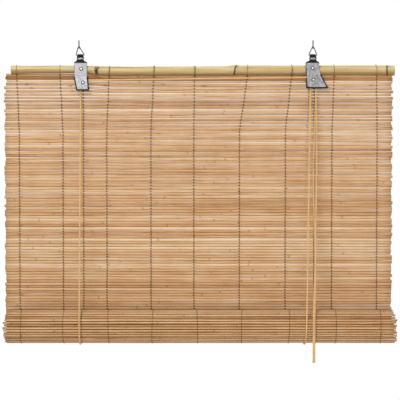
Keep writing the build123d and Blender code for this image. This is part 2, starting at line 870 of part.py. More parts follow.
lock_turn = 0.97 * lock_pulley_arc
right_lift_route = [
    lifted(right_join, lock_kink),
    lock_kink,
    (lift_x, back_pulley_y, lock_run_z),
    (pull_x, back_pulley_y, lock_run_z),
    (pull_x, back_pulley_y, lock_exit_z),
]
right_lift_cord = cord_tube("right_lift", right_lift_route, {2: lock_turn, 3: lock_turn})
right_lift_cord.label = "right_lift_cord"
export_step(hang(right_lift_cord), "parts/right_lift_cord.step")

# The two pull cords hang limp from the lock, lean on the front of the roll and end cut off below it.
left_pull_route = [
    (pull_x, front_pulley_y, lock_exit_z),
    (pull_x, front_pulley_y, -104.0),
    (246.9, -2.8, -134.0),
    (247.4, -5.8, -180.0),
    (247.5, -9.4, -230.0),
    (247.0, -13.4, -282.0),
    (245.9, -18.2, -336.0),
    (244.6, -24.0, -390.0),
    (243.9, -30.9, -442.0),
    (243.4, -39.1, -490.0),
    (242.4, -50.2, -532.0),
    (241.3, -64.6, -573.0),
    (240.9, -64.9, -612.0),
    (240.6, -64.4, pull_end_z),
]
left_pull_cord = cord_tube("left_pull", left_pull_route)
left_pull_cord.label = "left_pull_cord"
export_step(hang(left_pull_cord), "parts/left_pull_cord.step")

right_pull_route = [
    (pull_x, back_pulley_y, lock_exit_z),
    (pull_x, back_pulley_y, -104.0),
    (245.2, 1.2, -134.0),
    (243.2, -2.0, -180.0),
    (241.4, -6.6, -230.0),
    (240.6, -11.6, -282.0),
    (241.4, -16.0, -336.0),
    (243.0, -20.8, -390.0),
    (243.4, -27.5, -442.0),
    (241.8, -36.0, -490.0),
    (239.0, -49.2, -532.0),
    (237.0, -64.6, -573.0),
    (236.4, -64.8, -612.0),
    (236.9, -64.3, pull_end_z),
]
right_pull_cord = cord_tube("right_pull", right_pull_route)
right_pull_cord.label = "right_pull_cord"
export_step(hang(right_pull_cord), "parts/right_pull_cord.step")
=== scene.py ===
"""Bamboo roll-up blind: the visible model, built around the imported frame."""

import logging
import math
import random
from collections.abc import Callable, Sequence
from dataclasses import dataclass, field
from enum import Enum
from functools import cache
from typing import ClassVar

import bpy
import numpy as np
from mathutils import Matrix, Vector


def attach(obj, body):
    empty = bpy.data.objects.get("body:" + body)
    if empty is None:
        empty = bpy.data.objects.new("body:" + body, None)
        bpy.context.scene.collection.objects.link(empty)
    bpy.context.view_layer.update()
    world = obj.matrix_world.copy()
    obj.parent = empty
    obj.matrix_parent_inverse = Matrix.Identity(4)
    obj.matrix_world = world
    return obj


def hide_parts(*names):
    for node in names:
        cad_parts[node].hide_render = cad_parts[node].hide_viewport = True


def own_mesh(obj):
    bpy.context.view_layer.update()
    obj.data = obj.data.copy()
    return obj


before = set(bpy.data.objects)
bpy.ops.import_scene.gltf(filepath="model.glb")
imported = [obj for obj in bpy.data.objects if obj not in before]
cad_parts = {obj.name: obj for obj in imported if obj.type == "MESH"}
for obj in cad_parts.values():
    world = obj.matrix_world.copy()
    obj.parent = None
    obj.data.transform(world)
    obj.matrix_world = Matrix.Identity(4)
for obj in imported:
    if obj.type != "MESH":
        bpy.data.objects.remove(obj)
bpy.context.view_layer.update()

LOG = logging.getLogger("blind")
MM = 0.001
Point = tuple[float, float, float]
Colour = tuple[float, float, float]
Pair = tuple[np.ndarray, np.ndarray]
Node = bpy.types.Node
Socket = bpy.types.NodeSocket
TURN = 2 * math.pi
TONE = "tone"
MARK = "mark"
BAR_Z = -23.0 * MM
HANG_LEAN = 2.4
HANG = (
    Matrix.Translation((0.0, 0.0, BAR_Z))
    @ Matrix.Rotation(math.radians(HANG_LEAN), 4, "X")
    @ Matrix.Translation((0.0, 0.0, -BAR_Z))
)


class Body(Enum):
    """The moving bodies that a piece can ride on."""

    HOOKS = "hooks"
    RINGS = "rings"
    HEAD = "head"
    SLINGS = "slings"
    ROLL = "roll"


# ---- lines
def hung_place(x: float, y: float, z: float) -> Point:
    """Return where a place of the upright blind lies when the blind hangs at its lean."""
    return tuple(HANG @ Vector((float(x), float(y), float(z))))


def metres(*points: Point) -> list[Point]:
    """Turn points given in millimetres into metres."""
    return [(x * MM, y * MM, z * MM) for x, y, z in points]


def held(value: float) -> float:
    """Hold a number between 0 and 1."""
    return min(1.0, max(0.0, value))


def ease(value: float | np.ndarray) -> float | np.ndarray:
    """Return a smooth step: 0 up to 0 and 1 from 1 on."""
    share = np.clip(value, 0.0, 1.0)
    return share * share * (3 - 2 * share)


def columns(x: np.ndarray | float, y: np.ndarray | float, z: np.ndarray | float) -> np.ndarray:
    """Join three coordinates into points, one row each."""
    return np.stack(np.broadcast_arrays(x, y, z), axis=-1)


def round_turn(count: int) -> np.ndarray:
    """Return angles evenly round one turn, the last short of the first."""
    return np.linspace(0.0, TURN, count, endpoint=False)


def trefoil(count: int) -> tuple[np.ndarray, np.ndarray, np.ndarray]:
    """Return a trefoil knot's two coordinates in its plane and its rise and fall."""
    t = round_turn(count)
    return np.sin(t) + 2 * np.sin(2 * t), np.cos(t) - 2 * np.cos(2 * t), np.sin(3 * t)


def swing(first: np.ndarray, second: np.ndarray, angles: np.ndarray) -> np.ndarray:
    """Return the directions at given angles between two directions carried along a line."""
    return first * np.cos(angles)[:, None] + second * np.sin(angles)[:, None]


def link(name: str, data: bpy.types.ID) -> bpy.types.Object:
    """Make an object of a mesh, a light or a camera, in the scene."""
    made = bpy.data.objects.new(name, data)
    bpy.context.scene.collection.objects.link(made)
    return made


def smooth_line(name: str, points: Sequence[Point]) -> np.ndarray:
    """Read the smooth line that a route's points control.

    Args:
        name: A name for the passing curve.
        points: The route's points, in metres.

    Returns:
        The line's points in order, one row each.
    """
    curve = bpy.data.curves.new(name, "CURVE")
    curve.dimensions = "3D"
    spline = curve.splines.new("NURBS")
    spline.points.add(len(points) - 1)
    for target, place in zip(spline.points, points):
        target.co = (*place, 1.0)
    spline.order_u = 3
    spline.use_endpoint_u = True
    spline.resolution_u = 16
    holder = bpy.data.objects.new(name, curve)
    line = bpy.data.meshes.new_from_object(holder)
    rows = np.array([v.co for v in line.vertices], float)
    bpy.data.objects.remove(holder)
    bpy.data.meshes.remove(line)
    return rows


def distances(line: np.ndarray) -> np.ndarray:
    """Return the distance along a line of each of its points."""
    steps = np.linalg.norm(np.diff(line, axis=0), axis=1)
    return np.concatenate([[0.0], np.cumsum(steps)])


def evenly(line: np.ndarray, step: float) -> np.ndarray:
    """Space a line's points evenly.

    Args:
        line: The line's points.
        step: The wanted distance between points, in metres.

    Returns:
        The evenly spaced points.
    """
    along = distances(line)
    count = max(3, int(round(along[-1] / step)) + 1)
    marks = np.linspace(0.0, along[-1], count)
    return np.stack([np.interp(marks, along, line[:, k]) for k in range(3)], axis=1)


def frames_along(line: np.ndarray) -> Pair:
    """Carry two directions across a line along it without twist.

    Args:
        line: The line's points.

    Returns:
        The two unit directions at each point.
    """
    tangents = np.gradient(line, axis=0)
    tangents /= np.linalg.norm(tangents, axis=1)[:, None] + 1e-12
    start = np.array([0.0, 1.0, 0.0]) if abs(tangents[0][1]) < 0.9 else np.array([1.0, 0.0, 0.0])
    first = np.zeros_like(line)
    for i, tangent in enumerate(tangents):
        start = start - tangent * float(start @ tangent)
        start /= np.linalg.norm(start)
        first[i] = start
    return first, np.cross(tangents, first)


# ---- mesh store
@dataclass
class MeshStore:
    """Vertices, faces and two painted values, gathered until they become one object."""

    verts: list[np.ndarray] = field(default_factory=list)
    faces: list[list[int]] = field(default_factory=list)
    tones: list[np.ndarray] = field(default_factory=list)
    marks: list[np.ndarray] = field(default_factory=list)
    count: int = 0

    def grid(
        self,
        rows: np.ndarray,
        tone: float | np.ndarray = 0.5,
        mark: float | np.ndarray = 0.0,
        closed: bool = True,
        caps: bool = True,
        loop: bool = False,
    ) -> None:
        """Add a skin over rows of points.

        Args:
            rows: Points in an array of rows by columns by three.
            tone: The painted tone, one value or one a row.
            mark: The painted mark, one value, one a row, or one a point.
            closed: Whether each row closes on itself.
            caps: Whether the first and last rows are filled.
            loop: Whether the last row joins the first.
        """
        n, m = rows.shape[:2]
        base = self.count
        self.verts.append(rows.reshape(-1, 3))
        for values, store in ((tone, self.tones), (mark, self.marks)):
            values = np.asarray(values, float)
            if values.ndim < 2:
                values = np.broadcast_to(values.reshape(-1, 1), (n, m))
            store.append(values.reshape(-1))
        wide = m if closed else m - 1
        for i in range(n if loop else n - 1):
            here, there = base + i * m, base + ((i + 1) % n) * m
            for j in range(wide):
                k = (j + 1) % m
                self.faces.append([here + j, here + k, there + k, there + j])
        if caps and closed and not loop:
            self.faces.append([base + j for j in reversed(range(m))])
            self.faces.append([base + (n - 1) * m + j for j in range(m)])
        self.count += n * m

    def tube(
        self,
        line: np.ndarray,
        radius: float | np.ndarray,
        sides: int = 6,
        tone: float = 0.5,
        loop: bool = False,
    ) -> None:
        """Add a round tube along a line.

        Args:
            line: The line's points.
            radius: One radius, or one a point.
            sides: How many sides the tube has.
            tone: The painted tone.
            loop: Whether the line closes on itself.
        """
        first, second = frames_along(line)
        angles = round_turn(sides)
        radii = np.broadcast_to(np.asarray(radius, float), (len(line),))
        ring = (
            first[:, None, :] * np.cos(angles)[None, :, None]
            + second[:, None, :] * np.sin(angles)[None, :, None]
        )
        rows = line[:, None, :] + ring * radii[:, None, None]
        self.grid(rows, tone, loop=loop)

    def build(self, name: str) -> bpy.types.Object:
        """Make the object.

        Args:
            name: The piece's name.

        Returns:
            The new object, at the origin.
        """
        mesh = bpy.data.meshes.new(name)
        mesh.from_pydata(np.concatenate(self.verts).tolist(), [], self.faces)
        for title, parts in ((TONE, self.tones), (MARK, self.marks)):
            layer = mesh.attributes.new(title, "FLOAT", "POINT")
            layer.data.foreach_set("value", np.concatenate(parts).astype(np.float32))
        mesh.polygons.foreach_set("use_smooth", [True] * len(mesh.polygons))
        mesh.update()
        return link(name, mesh)


# ---- shader nodes
class Nodes:
    """Short calls for making and joining a tree's nodes."""

    def __init__(self, tree: bpy.types.NodeTree) -> None:
        """Keep the tree that the calls work on."""
        self.tree = tree

    def add(self, kind: str, inputs: dict | None = None, **settings: object) -> Node:
        """Add a node.

        Args:
            kind: The node's type, without its ShaderNode prefix.
            inputs: Values or sockets for its inputs, by name or number.
            settings: Values for its own properties.

        Returns:
            The new node.
        """
        node = self.tree.nodes.new("ShaderNode" + kind)
        for key, value in settings.items():
            setattr(node, key, value)
        for key, value in (inputs or {}).items():
            if isinstance(value, Socket):
                self.tree.links.new(value, node.inputs[key])
            else:
                node.inputs[key].default_value = value
        return node

    def ramp(self, value: Socket, stops: Sequence[tuple[float, Colour]]) -> Socket:
        """Turn a value into a colour through stops of (place, colour)."""
        node = self.add("ValToRGB", {0: value})
        elements = node.color_ramp.elements
        while len(elements) < len(stops):
            elements.new(0.5)
        for element, (place, colour) in zip(elements, stops):
            element.position = place
            element.color = (*colour, 1.0)
        return node.outputs[0]

    def mix(
        self,
        share: Socket | float,
        a: Socket | Colour,
        b: Socket | Colour,
        blend: str = "MIX",
    ) -> Socket:
        """Mix two colours.

        Args:
            share: How much of the second colour shows.
            a: The first colour.
            b: The second colour.
            blend: The way of mixing.

        Returns:
            The mixed colour's socket.
        """
        first = a if isinstance(a, Socket) else (*a, 1.0)
        second = b if isinstance(b, Socket) else (*b, 1.0)
        node = self.add("Mix", {0: share, 6: first, 7: second}, data_type="RGBA", blend_type=blend)
        return node.outputs[2]

    def spread(
        self, value: Socket, low: float, high: float, out_low: float = 0.0, out_high: float = 1.0
    ) -> Socket:
        """Map a value's range onto another, held at its ends."""
        node = self.add("MapRange", {0: value, 1: low, 2: high, 3: out_low, 4: out_high})
        return node.outputs[0]

    def maths(self, operation: str, *values: Socket | float) -> Socket:
        """Work out one operation on sockets or numbers."""
        return self.add("Math", dict(enumerate(values)), operation=operation).outputs[0]

    def attribute(self, title: str) -> Socket:
        """Read a painted value."""
        return self.add("Attribute", attribute_name=title).outputs["Fac"]

    def place(self) -> Socket:
        """Read the place on the object."""
        return self.add("TexCoord").outputs["Object"]

    def noise(
        self, place: Socket, scale: Socket | float, detail: float, roughness: float = 0.5
    ) -> Socket:
        """Read soft noise at a place."""
        inputs = {"Vector": place, "Scale": scale, "Detail": detail, "Roughness": roughness}
        return self.add("TexNoise", inputs).outputs["Fac"]

    def group(self, tree: bpy.types.NodeTree, **values: float) -> Callable[[str], Socket]:
        """Place a shared effect with its own values, and return the way to read its outputs."""
        inputs = {title.replace("_", " "): value for title, value in values.items()}
        return self.add("Group", inputs, node_tree=tree).outputs.__getitem__


class SharedEffects:
    """The node groups that several finishes use, each made once."""

    @staticmethod
    def _open(name: str, **inputs: float) -> tuple[Nodes, Sequence[Socket]]:
        """Start a group.

        Args:
            name: The group's name.
            inputs: Its float inputs and their usual values, with _ for a space.

        Returns:
            Calls for its nodes, and the sockets that give its inputs.
        """
        tree = bpy.data.node_groups.new(name, "ShaderNodeTree")
        for title, value in inputs.items():
            tree.interface.new_socket(
                title.replace("_", " "), in_out="INPUT", socket_type="NodeSocketFloat"
            ).default_value = value
        return Nodes(tree), tree.nodes.new("NodeGroupInput").outputs

    @staticmethod
    def _close(nodes: Nodes, **results: Socket) -> bpy.types.NodeTree:
        """Give a group its outputs.

        Args:
            nodes: Calls for the group's nodes.
            results: The sockets that it puts out, by name.

        Returns:
            The finished group.
        """
        for title in results:
            nodes.tree.interface.new_socket(title, in_out="OUTPUT", socket_type="NodeSocketFloat")
        sink = nodes.tree.nodes.new("NodeGroupOutput")
        for title, socket in results.items():
            nodes.tree.links.new(socket, sink.inputs[title])
        return nodes.tree

    @staticmethod
    @cache
    def fibre() -> bpy.types.NodeTree:
        """Return the group that draws bamboo fibre: long streaks and fine lines along X."""
        nodes, (along, wide, *_) = SharedEffects._open("fibre", Along=14.0, Across=420.0)
        place = nodes.place()
        scale = nodes.add("CombineXYZ", {0: along, 1: wide, 2: wide}).outputs[0]
        moved = nodes.add("VectorMath", {0: place, 1: scale}, operation="MULTIPLY").outputs[0]
        return SharedEffects._close(
            nodes,
            Streak=nodes.noise(moved, 1.0, 5.0, 0.6),
            Fine=nodes.noise(moved, 4.2, 3.0, 0.7),
            Patch=nodes.noise(place, 26.0, 3.0, 0.55),
        )

    @staticmethod
    @cache
    def wear() -> bpy.types.NodeTree:
        """Return the group for metal: rubbed edges, smears and fine pits."""
        nodes, (scale, amount, *_) = SharedEffects._open("wear", Scale=240.0, Amount=1.0)
        place = nodes.place()
        broad = nodes.noise(place, scale, 4.0)
        edge = nodes.spread(nodes.add("NewGeometry").outputs["Pointiness"], 0.56, 0.7)
        edge = nodes.maths("MULTIPLY", edge, nodes.spread(broad, 0.38, 0.6))
        edge = nodes.maths("MULTIPLY", edge, amount)
        pit = nodes.noise(place, 2600.0, 2.0)
        return SharedEffects._close(nodes, Edge=edge, Smear=broad, Pit=pit)

    @staticmethod
    @cache
    def fluff() -> bpy.types.NodeTree:
        """Return the group for cord and twine: its fibres and its soiling."""
        nodes, (scale, soil, *_) = SharedEffects._open("fluff", Scale=900.0, Soil_scale=30.0)
        place = nodes.place()
        return SharedEffects._close(
            nodes, Fibre=nodes.noise(place, scale, 5.0, 0.7), Soil=nodes.noise(place, soil, 3.0)
        )


# ---- finishes
# Base colour, roughness, the bump's height, its depth in metres and its strength.
Coat = tuple[Socket, Socket, Socket, float, float]


@dataclass(frozen=True)
class Finish:
    """A finish: a material with its own nodes round one Principled shader."""

    name: str
    slot: str
    specular: float = 0.5

    def constants(self) -> dict[str, float]:
        """Return the values set on the shader's own sockets."""
        return {"Specular IOR Level": self.specular}

    def coat(self, nodes: Nodes) -> Coat:
        """Return the finish's colour, roughness and bump."""
        raise NotImplementedError

    def material(self) -> bpy.types.Material:
        """Make the material and join its coat to its shader."""
        material = bpy.data.materials.new(self.name)
        material.use_nodes = True
        nodes = Nodes(material.node_tree)
        shader = material.node_tree.nodes["Principled BSDF"]
        for title, value in self.constants().items():
            shader.inputs[title].default_value = value
        colour, rough, height, depth, strength = self.coat(nodes)
        bump = nodes.add("Bump", {"Height": height, "Distance": depth, "Strength": strength})
        joins = {"Base Color": colour, "Roughness": rough, "Normal": bump.outputs[0]}
        for title, socket in joins.items():
            nodes.tree.links.new(socket, shader.inputs[title])
        return material


@dataclass(frozen=True)
class CulmFinish(Finish):
    """Smooth dried culm: pale olive skin, streaks, stains, dark node scars, painted shade
    underneath.
    """

    pale: Colour = (0.58, 0.43, 0.20)
    olive: Colour = (0.42, 0.30, 0.10)
    stain: Colour = (0.045, 0.024, 0.008)

    def coat(self, nodes: Nodes) -> Coat:
        """Return the finish's colour, roughness and bump."""
        fibre = nodes.group(SharedEffects.fibre(), Along=9.0, Across=260.0)
        streak = nodes.spread(fibre("Streak"), 0.32, 0.68)
        skin = nodes.ramp(streak, ((0.0, self.olive), (0.45, self.pale), (1.0, (0.70, 0.58, 0.34))))
        patch = nodes.spread(fibre("Patch"), 0.45, 0.75, 0.0, 0.55)
        skin = nodes.mix(patch, skin, (0.62, 0.47, 0.20))
        # painted shade: the skin browns where it faces down, standing in for the shadow on the
        # culm's underside
        normal = nodes.add("NewGeometry").outputs["Normal"]
        up = nodes.add("SeparateXYZ", {0: normal}).outputs[2]
        skin = nodes.mix(nodes.spread(up, 0.55, -0.8, 0.0, 0.8), skin, (0.27, 0.15, 0.045))
        line = nodes.spread(fibre("Fine"), 0.66, 0.74, 0.0, 0.45)
        skin = nodes.mix(line, skin, (0.34, 0.22, 0.08))
        skin = nodes.mix(nodes.attribute(MARK), skin, self.stain)
        rough = nodes.spread(fibre("Streak"), 0.3, 0.7, 0.42, 0.3)
        return skin, rough, fibre("Fine"), 0.00012, 0.35


@dataclass(frozen=True)
class SlatFinish(Finish):
    """Split bamboo: each strip its own tan, with fibre lines, brown joints and painted edge shade.
    """

    dark: Colour = (0.30, 0.125, 0.040)
    tan: Colour = (0.56, 0.31, 0.135)
    cream: Colour = (0.74, 0.53, 0.33)

    def coat(self, nodes: Nodes) -> Coat:
        """Return the finish's colour, roughness and bump."""
        fibre = nodes.group(SharedEffects.fibre(), Along=16.0, Across=700.0)
        tone = nodes.attribute(TONE)
        streak = nodes.spread(fibre("Streak"), 0.3, 0.7, -0.2, 0.2)
        patch = nodes.spread(fibre("Patch"), 0.35, 0.65, -0.06, 0.06)
        value = nodes.maths("ADD", nodes.maths("ADD", tone, streak), patch)
        wood = nodes.ramp(value, ((0.0, self.dark), (0.5, self.tan), (1.0, self.cream)))
        fine = nodes.spread(fibre("Fine"), 0.6, 0.72, 0.0, 0.4)
        wood = nodes.mix(fine, wood, (0.26, 0.13, 0.05))
        # mark: dark joints, plus painted shade along the strip edges and over the roll's inner turn
        wood = nodes.mix(nodes.attribute(MARK), wood, (0.085, 0.032, 0.009))
        rough = nodes.spread(fibre("Streak"), 0.3, 0.7, 0.72, 0.52)
        return wood, rough, fibre("Fine"), 0.0002, 0.5


@dataclass(frozen=True)
class StrandFinish(Finish):
    """Twisted fibre: cord, twine or thread, by its colours."""

    deep: Colour = (0.5, 0.33, 0.14)
    light: Colour = (0.8, 0.6, 0.33)
    soil: Colour = (0.4, 0.25, 0.1)
    soiling: float = 0.3
    sheen: float = 0.12

    def constants(self) -> dict[str, float]:
        """Return the values set on the shader's own sockets."""
        return {**super().constants(), "Sheen Weight": self.sheen, "Sheen Roughness": 0.5}

    def coat(self, nodes: Nodes) -> Coat:
        """Return the finish's colour, roughness and bump."""
        fluff = nodes.group(SharedEffects.fluff(), Scale=1300.0, Soil_scale=34.0)
        fibre = nodes.spread(fluff("Fibre"), 0.3, 0.7)
        shade = nodes.maths("ADD", nodes.maths("MULTIPLY", fibre, 0.6), nodes.attribute(TONE))
        shade = nodes.maths("SUBTRACT", shade, 0.25)
        yarn = nodes.ramp(shade, ((0.0, self.deep), (1.0, self.light)))
        soil = nodes.spread(fluff("Soil"), 0.48, 0.72, 0.0, self.soiling)
        yarn = nodes.mix(soil, yarn, self.soil)
        rough = nodes.spread(fluff("Fibre"), 0.3, 0.7, 0.9, 0.7)
        return yarn, rough, fluff("Fibre"), 0.0002, 0.6


@dataclass(frozen=True)
class MetalFinish(Finish):
    """Bare or coated metal, by its colours, gloss and how much its edges are rubbed."""

    base: Colour = (0.6, 0.6, 0.6)
    rubbed: Colour = (0.7, 0.7, 0.7)
    dull: Colour = (0.3, 0.3, 0.3)
    metal: float = 1.0
    gloss: tuple[float, float] = (0.3, 0.45)
    worn: float = 0.7

    def constants(self) -> dict[str, float]:
        """Return the values set on the shader's own sockets."""
        return {**super().constants(), "Metallic": self.metal}

    def coat(self, nodes: Nodes) -> Coat:
        """Return the finish's colour, roughness and bump."""
        wear = nodes.group(SharedEffects.wear(), Scale=260.0, Amount=self.worn)
        smear = nodes.spread(wear("Smear"), 0.4, 0.7, 0.0, 0.6)
        skin = nodes.mix(smear, self.base, self.dull)
        skin = nodes.mix(wear("Edge"), skin, self.rubbed)
        rough = nodes.spread(wear("Smear"), 0.35, 0.65, self.gloss[0], self.gloss[1])
        return skin, rough, wear("Pit"), 0.00003, 0.4


@dataclass(frozen=True)
class ZincFinish(Finish):
    """Zinc-plated sheet with its faint spangle of crystals."""

    # shade below 1 darkens this copy of the plating: painted shade for a housing in less light
    shade: float = 1.0
    grain: float = 420.0
    wobble: float = 0.002

    def tinted(self, red: float, green: float, blue: float) -> Colour:
        """Return a colour scaled by this copy's shade factor, which darkens a copy of the plating
        as painted shade.
        """
        return red * self.shade, green * self.shade, blue * self.shade

    def constants(self) -> dict[str, float]:
        """Return the values set on the shader's own sockets."""
        return {**super().constants(), "Metallic": 1.0}

    def coat(self, nodes: Nodes) -> Coat:
        """Return the finish's colour, roughness and bump."""
        place = nodes.place()
        bend = nodes.add("TexNoise", {"Vector": place, "Scale": 500.0, "Detail": 2.0})
        shaken = {0: bend.outputs["Color"], 1: (self.wobble,) * 3, 2: place}
        moved = nodes.add("VectorMath", shaken, operation="MULTIPLY_ADD").outputs[0]
        cells = nodes.add("TexVoronoi", {"Vector": moved, "Scale": self.grain, "Randomness": 1.0})
        crystal = nodes.add("SeparateColor", {0: cells.outputs["Color"]})
        wear = nodes.group(SharedEffects.wear(), Scale=130.0, Amount=0.8)
        skin = nodes.ramp(
            crystal.outputs[0],
            ((0.0, self.tinted(0.46, 0.46, 0.49)), (0.55, self.tinted(0.62, 0.60, 0.62)),
             (1.0, self.tinted(0.78, 0.76, 0.77))),
        )
        tint = nodes.spread(crystal.outputs[1], 0.6, 1.0, 0.0, 0.35)
        skin = nodes.mix(tint, skin, self.tinted(0.50, 0.54, 0.46))
        smear = nodes.spread(wear("Smear"), 0.5, 0.75, 0.0, 0.5)
        skin = nodes.mix(smear, skin, self.tinted(0.42, 0.40, 0.42))
        skin = nodes.mix(wear("Edge"), skin, (0.82, 0.82, 0.82))
        rough = nodes.spread(crystal.outputs[2], 0.0, 1.0, 0.34, 0.5)
        return skin, rough, wear("Pit"), 0.00003, 0.35


@dataclass(frozen=True)
class MouldedFinish(Finish):
    """Off-white moulded pulley plastic, greyed where the cord runs."""

    def coat(self, nodes: Nodes) -> Coat:
        """Return the finish's colour, roughness and bump."""
        wear = nodes.group(SharedEffects.wear(), Scale=300.0, Amount=0.3)
        smear = nodes.spread(wear("Smear"), 0.4, 0.7, 0.0, 0.6)
        skin = nodes.mix(smear, (0.78, 0.76, 0.70), (0.55, 0.52, 0.45))
        rough = nodes.spread(wear("Smear"), 0.3, 0.7, 0.4, 0.6)
        return skin, rough, wear("Pit"), 0.00004, 0.3


FINISHES: dict[str, Finish] = {
    "culm": CulmFinish("culm_skin", "bamboo_culm", 0.32),
    "slat": SlatFinish("split_bamboo", "bamboo_slats", 0.3),
    "cord": StrandFinish(
        "tan_twisted_cord", "tan_cord", 0.3,
        (0.50, 0.28, 0.09), (0.84, 0.56, 0.26), (0.42, 0.24, 0.07), 0.35,
    ),
    "twine": StrandFinish(
        "olive_tie_twine", "olive_twine", 0.2,
        (0.17, 0.11, 0.03), (0.42, 0.29, 0.10), (0.12, 0.07, 0.02), 0.5, 0.0,
    ),
    "thread": StrandFinish(
        "brown_warp_thread", "brown_thread", 0.1,
        (0.042, 0.017, 0.004), (0.12, 0.052, 0.014), (0.02, 0.008, 0.002), 0.5, 0.0,
    ),
    "roll_thread": StrandFinish(
        "roll_warp_thread", "brown_thread", 0.1,
        (0.08, 0.04, 0.010), (0.22, 0.12, 0.04), (0.04, 0.02, 0.006), 0.5, 0.0,
    ),
    "black": MetalFinish(
        "black_enamel", "black_steel", 0.18,
        (0.004, 0.004, 0.005), (0.04, 0.038, 0.038), (0.012, 0.012, 0.013), 0.0, (0.35, 0.5), 0.4,
    ),
    "zinc": ZincFinish("zinc_plating", "zinc_plate", 0.5, 0.94),
    # painted shade: the same plating at half brightness for the lock housing
    "shaded_zinc": ZincFinish("shaded_zinc_plating", "zinc_plate", 0.5, 0.5),
    # painted highlight: near-white and barely metallic, for the rivet caps and the neck stripes
    "dome": MetalFinish(
        "pale_rivet_dome", "bright_steel", 0.5,
        (0.93, 0.93, 0.93), (1.0, 1.0, 1.0), (0.70, 0.70, 0.72), 0.2, (0.25, 0.4), 0.5,
    ),
    "rivet": MetalFinish(
        "bright_rivet", "bright_steel", 0.5,
        (0.80, 0.80, 0.81), (0.95, 0.95, 0.95), (0.50, 0.50, 0.52), 1.0, (0.2, 0.35), 0.6,
    ),
    "hook": MetalFinish(
        "dark_hook_wire", "hook_steel", 0.3,
        (0.025, 0.023, 0.023), (0.22, 0.20, 0.19), (0.012, 0.011, 0.011), 0.2, (0.35, 0.5), 0.5,
    ),
    "ring": MetalFinish(
        "grey_ring_wire", "ring_steel", 0.4,
        (0.13, 0.13, 0.13), (0.42, 0.42, 0.42), (0.07, 0.07, 0.07), 0.6, (0.28, 0.42), 0.6,
    ),
    "pulley": MouldedFinish("moulded_pulley", "pulley_nylon"),
}
MATERIALS: dict[str, bpy.types.Material] = {}


def dress(piece: bpy.types.Object, finish: str) -> None:
    """Give a piece its finish, in place of whatever it wears.

    Args:
        piece: The piece.
        finish: A name in FINISHES.
    """
    if finish not in MATERIALS:
        MATERIALS[finish] = FINISHES[finish].material()
    slots = piece.material_slots
    if not slots:
        piece.data.materials.append(MATERIALS[finish])
    for place in slots:
        place.material = MATERIALS[finish]


def settle(piece: bpy.types.Object, finish: str, body: Body, *replaced: str) -> bpy.types.Object:
    """Turn a new piece to the lean at which the blind hangs, dress it and let it ride.

    Args:
        piece: The new piece.
        finish: A name in FINISHES.
        body: The body that it rides on.
        replaced: The CAD nodes that it stands for.

    Returns:
        The same piece.
    """
    if body not in (Body.HOOKS, Body.RINGS):
        piece.data.transform(HANG)
    dress(piece, finish)
    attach(piece, body.value)
    if replaced:
        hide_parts(*replaced)
    LOG.info("piece %s on %s, %d faces", piece.name, body.value, len(piece.data.polygons))
    return piece


# ---- places shared by the pieces
@dataclass(frozen=True)
class Places:
    """Sizes and places of the blind that several pieces share, in metres."""

    pole_front_y: float = -1.1 * MM
    screen_y: float = 8.6 * MM
    slat_thickness: float = 1.5 * MM
    slat_top_z: float = -68.7 * MM
    roll_z: float = -578.0 * MM
    roll_y: float = -27.2 * MM
    roll_radius: float = 34.0 * MM
    cord_wire: float = 2.8 * MM
    lift: float = 430.0 * MM
    bound_slats: int = 3
    squash_z: float = -142.0 * MM
    settle_z: float = -178.0 * MM
    tie_x: tuple[float, ...] = (-368.5, -279.3, -178.7, -86.9, -3.1, 105.6, 196.4, 283.9, 371.2)
    warp_x: tuple[float, ...] = (-364.0, -274.2, -184.0, -93.0, -4.5, 89.4, 184.0, 280.0, 373.0)
    bracket_warp_x: tuple[float, ...] = (-232.0, 243.2)

    def way_down(self, level: float) -> float:
        """Return how far down the screen a height is, from 0 at the top slat to 1 at the roll."""
        return held((self.slat_top_z - level) / (self.slat_top_z - self.roll_z))

    def levels(self) -> list[float]:
        """Return the slats' heights: three bound close, then a pitch that narrows downwards."""
        top, bottom, bound = 6.4 * MM, 5.5 * MM, 5.3 * MM
        levels = [self.slat_top_z]
        while levels[-1] - bottom > self.roll_z + 2.45 * MM:
            loose = top + (bottom - top) * self.way_down(levels[-1])
            levels.append(levels[-1] - (bound if len(levels) < self.bound_slats else loose))
        return levels

    def width_at(self, level: float) -> float:
        """Return the usual width of the slat at a height: the gaps close towards the roll."""
        return (5.9 - 0.12 * self.way_down(level)) * MM

    def rise(self, x: np.ndarray, order: int) -> np.ndarray:
        """Return how far the top slats are drawn up against the pole, which is thinner at its left.

        Args:
            x: Places along the slat.
            order: The slat's place, counted from the top.

        Returns:
            The rise at each place.
        """
        share = ease((x / MM + 215.0) / 30.0)
        return (5.4 - 2.8 * share) * MM * max(0.0, 1.0 - order / 9.0)

    def warps(self) -> list[tuple[float, float]]:
        """Return each warp line's x at its tie and below, in metres."""
        pairs = list(zip(self.tie_x, self.warp_x)) + [(x, x) for x in self.bracket_warp_x]
        return [(a * MM, b * MM) for a, b in pairs]


PLACES = Places()


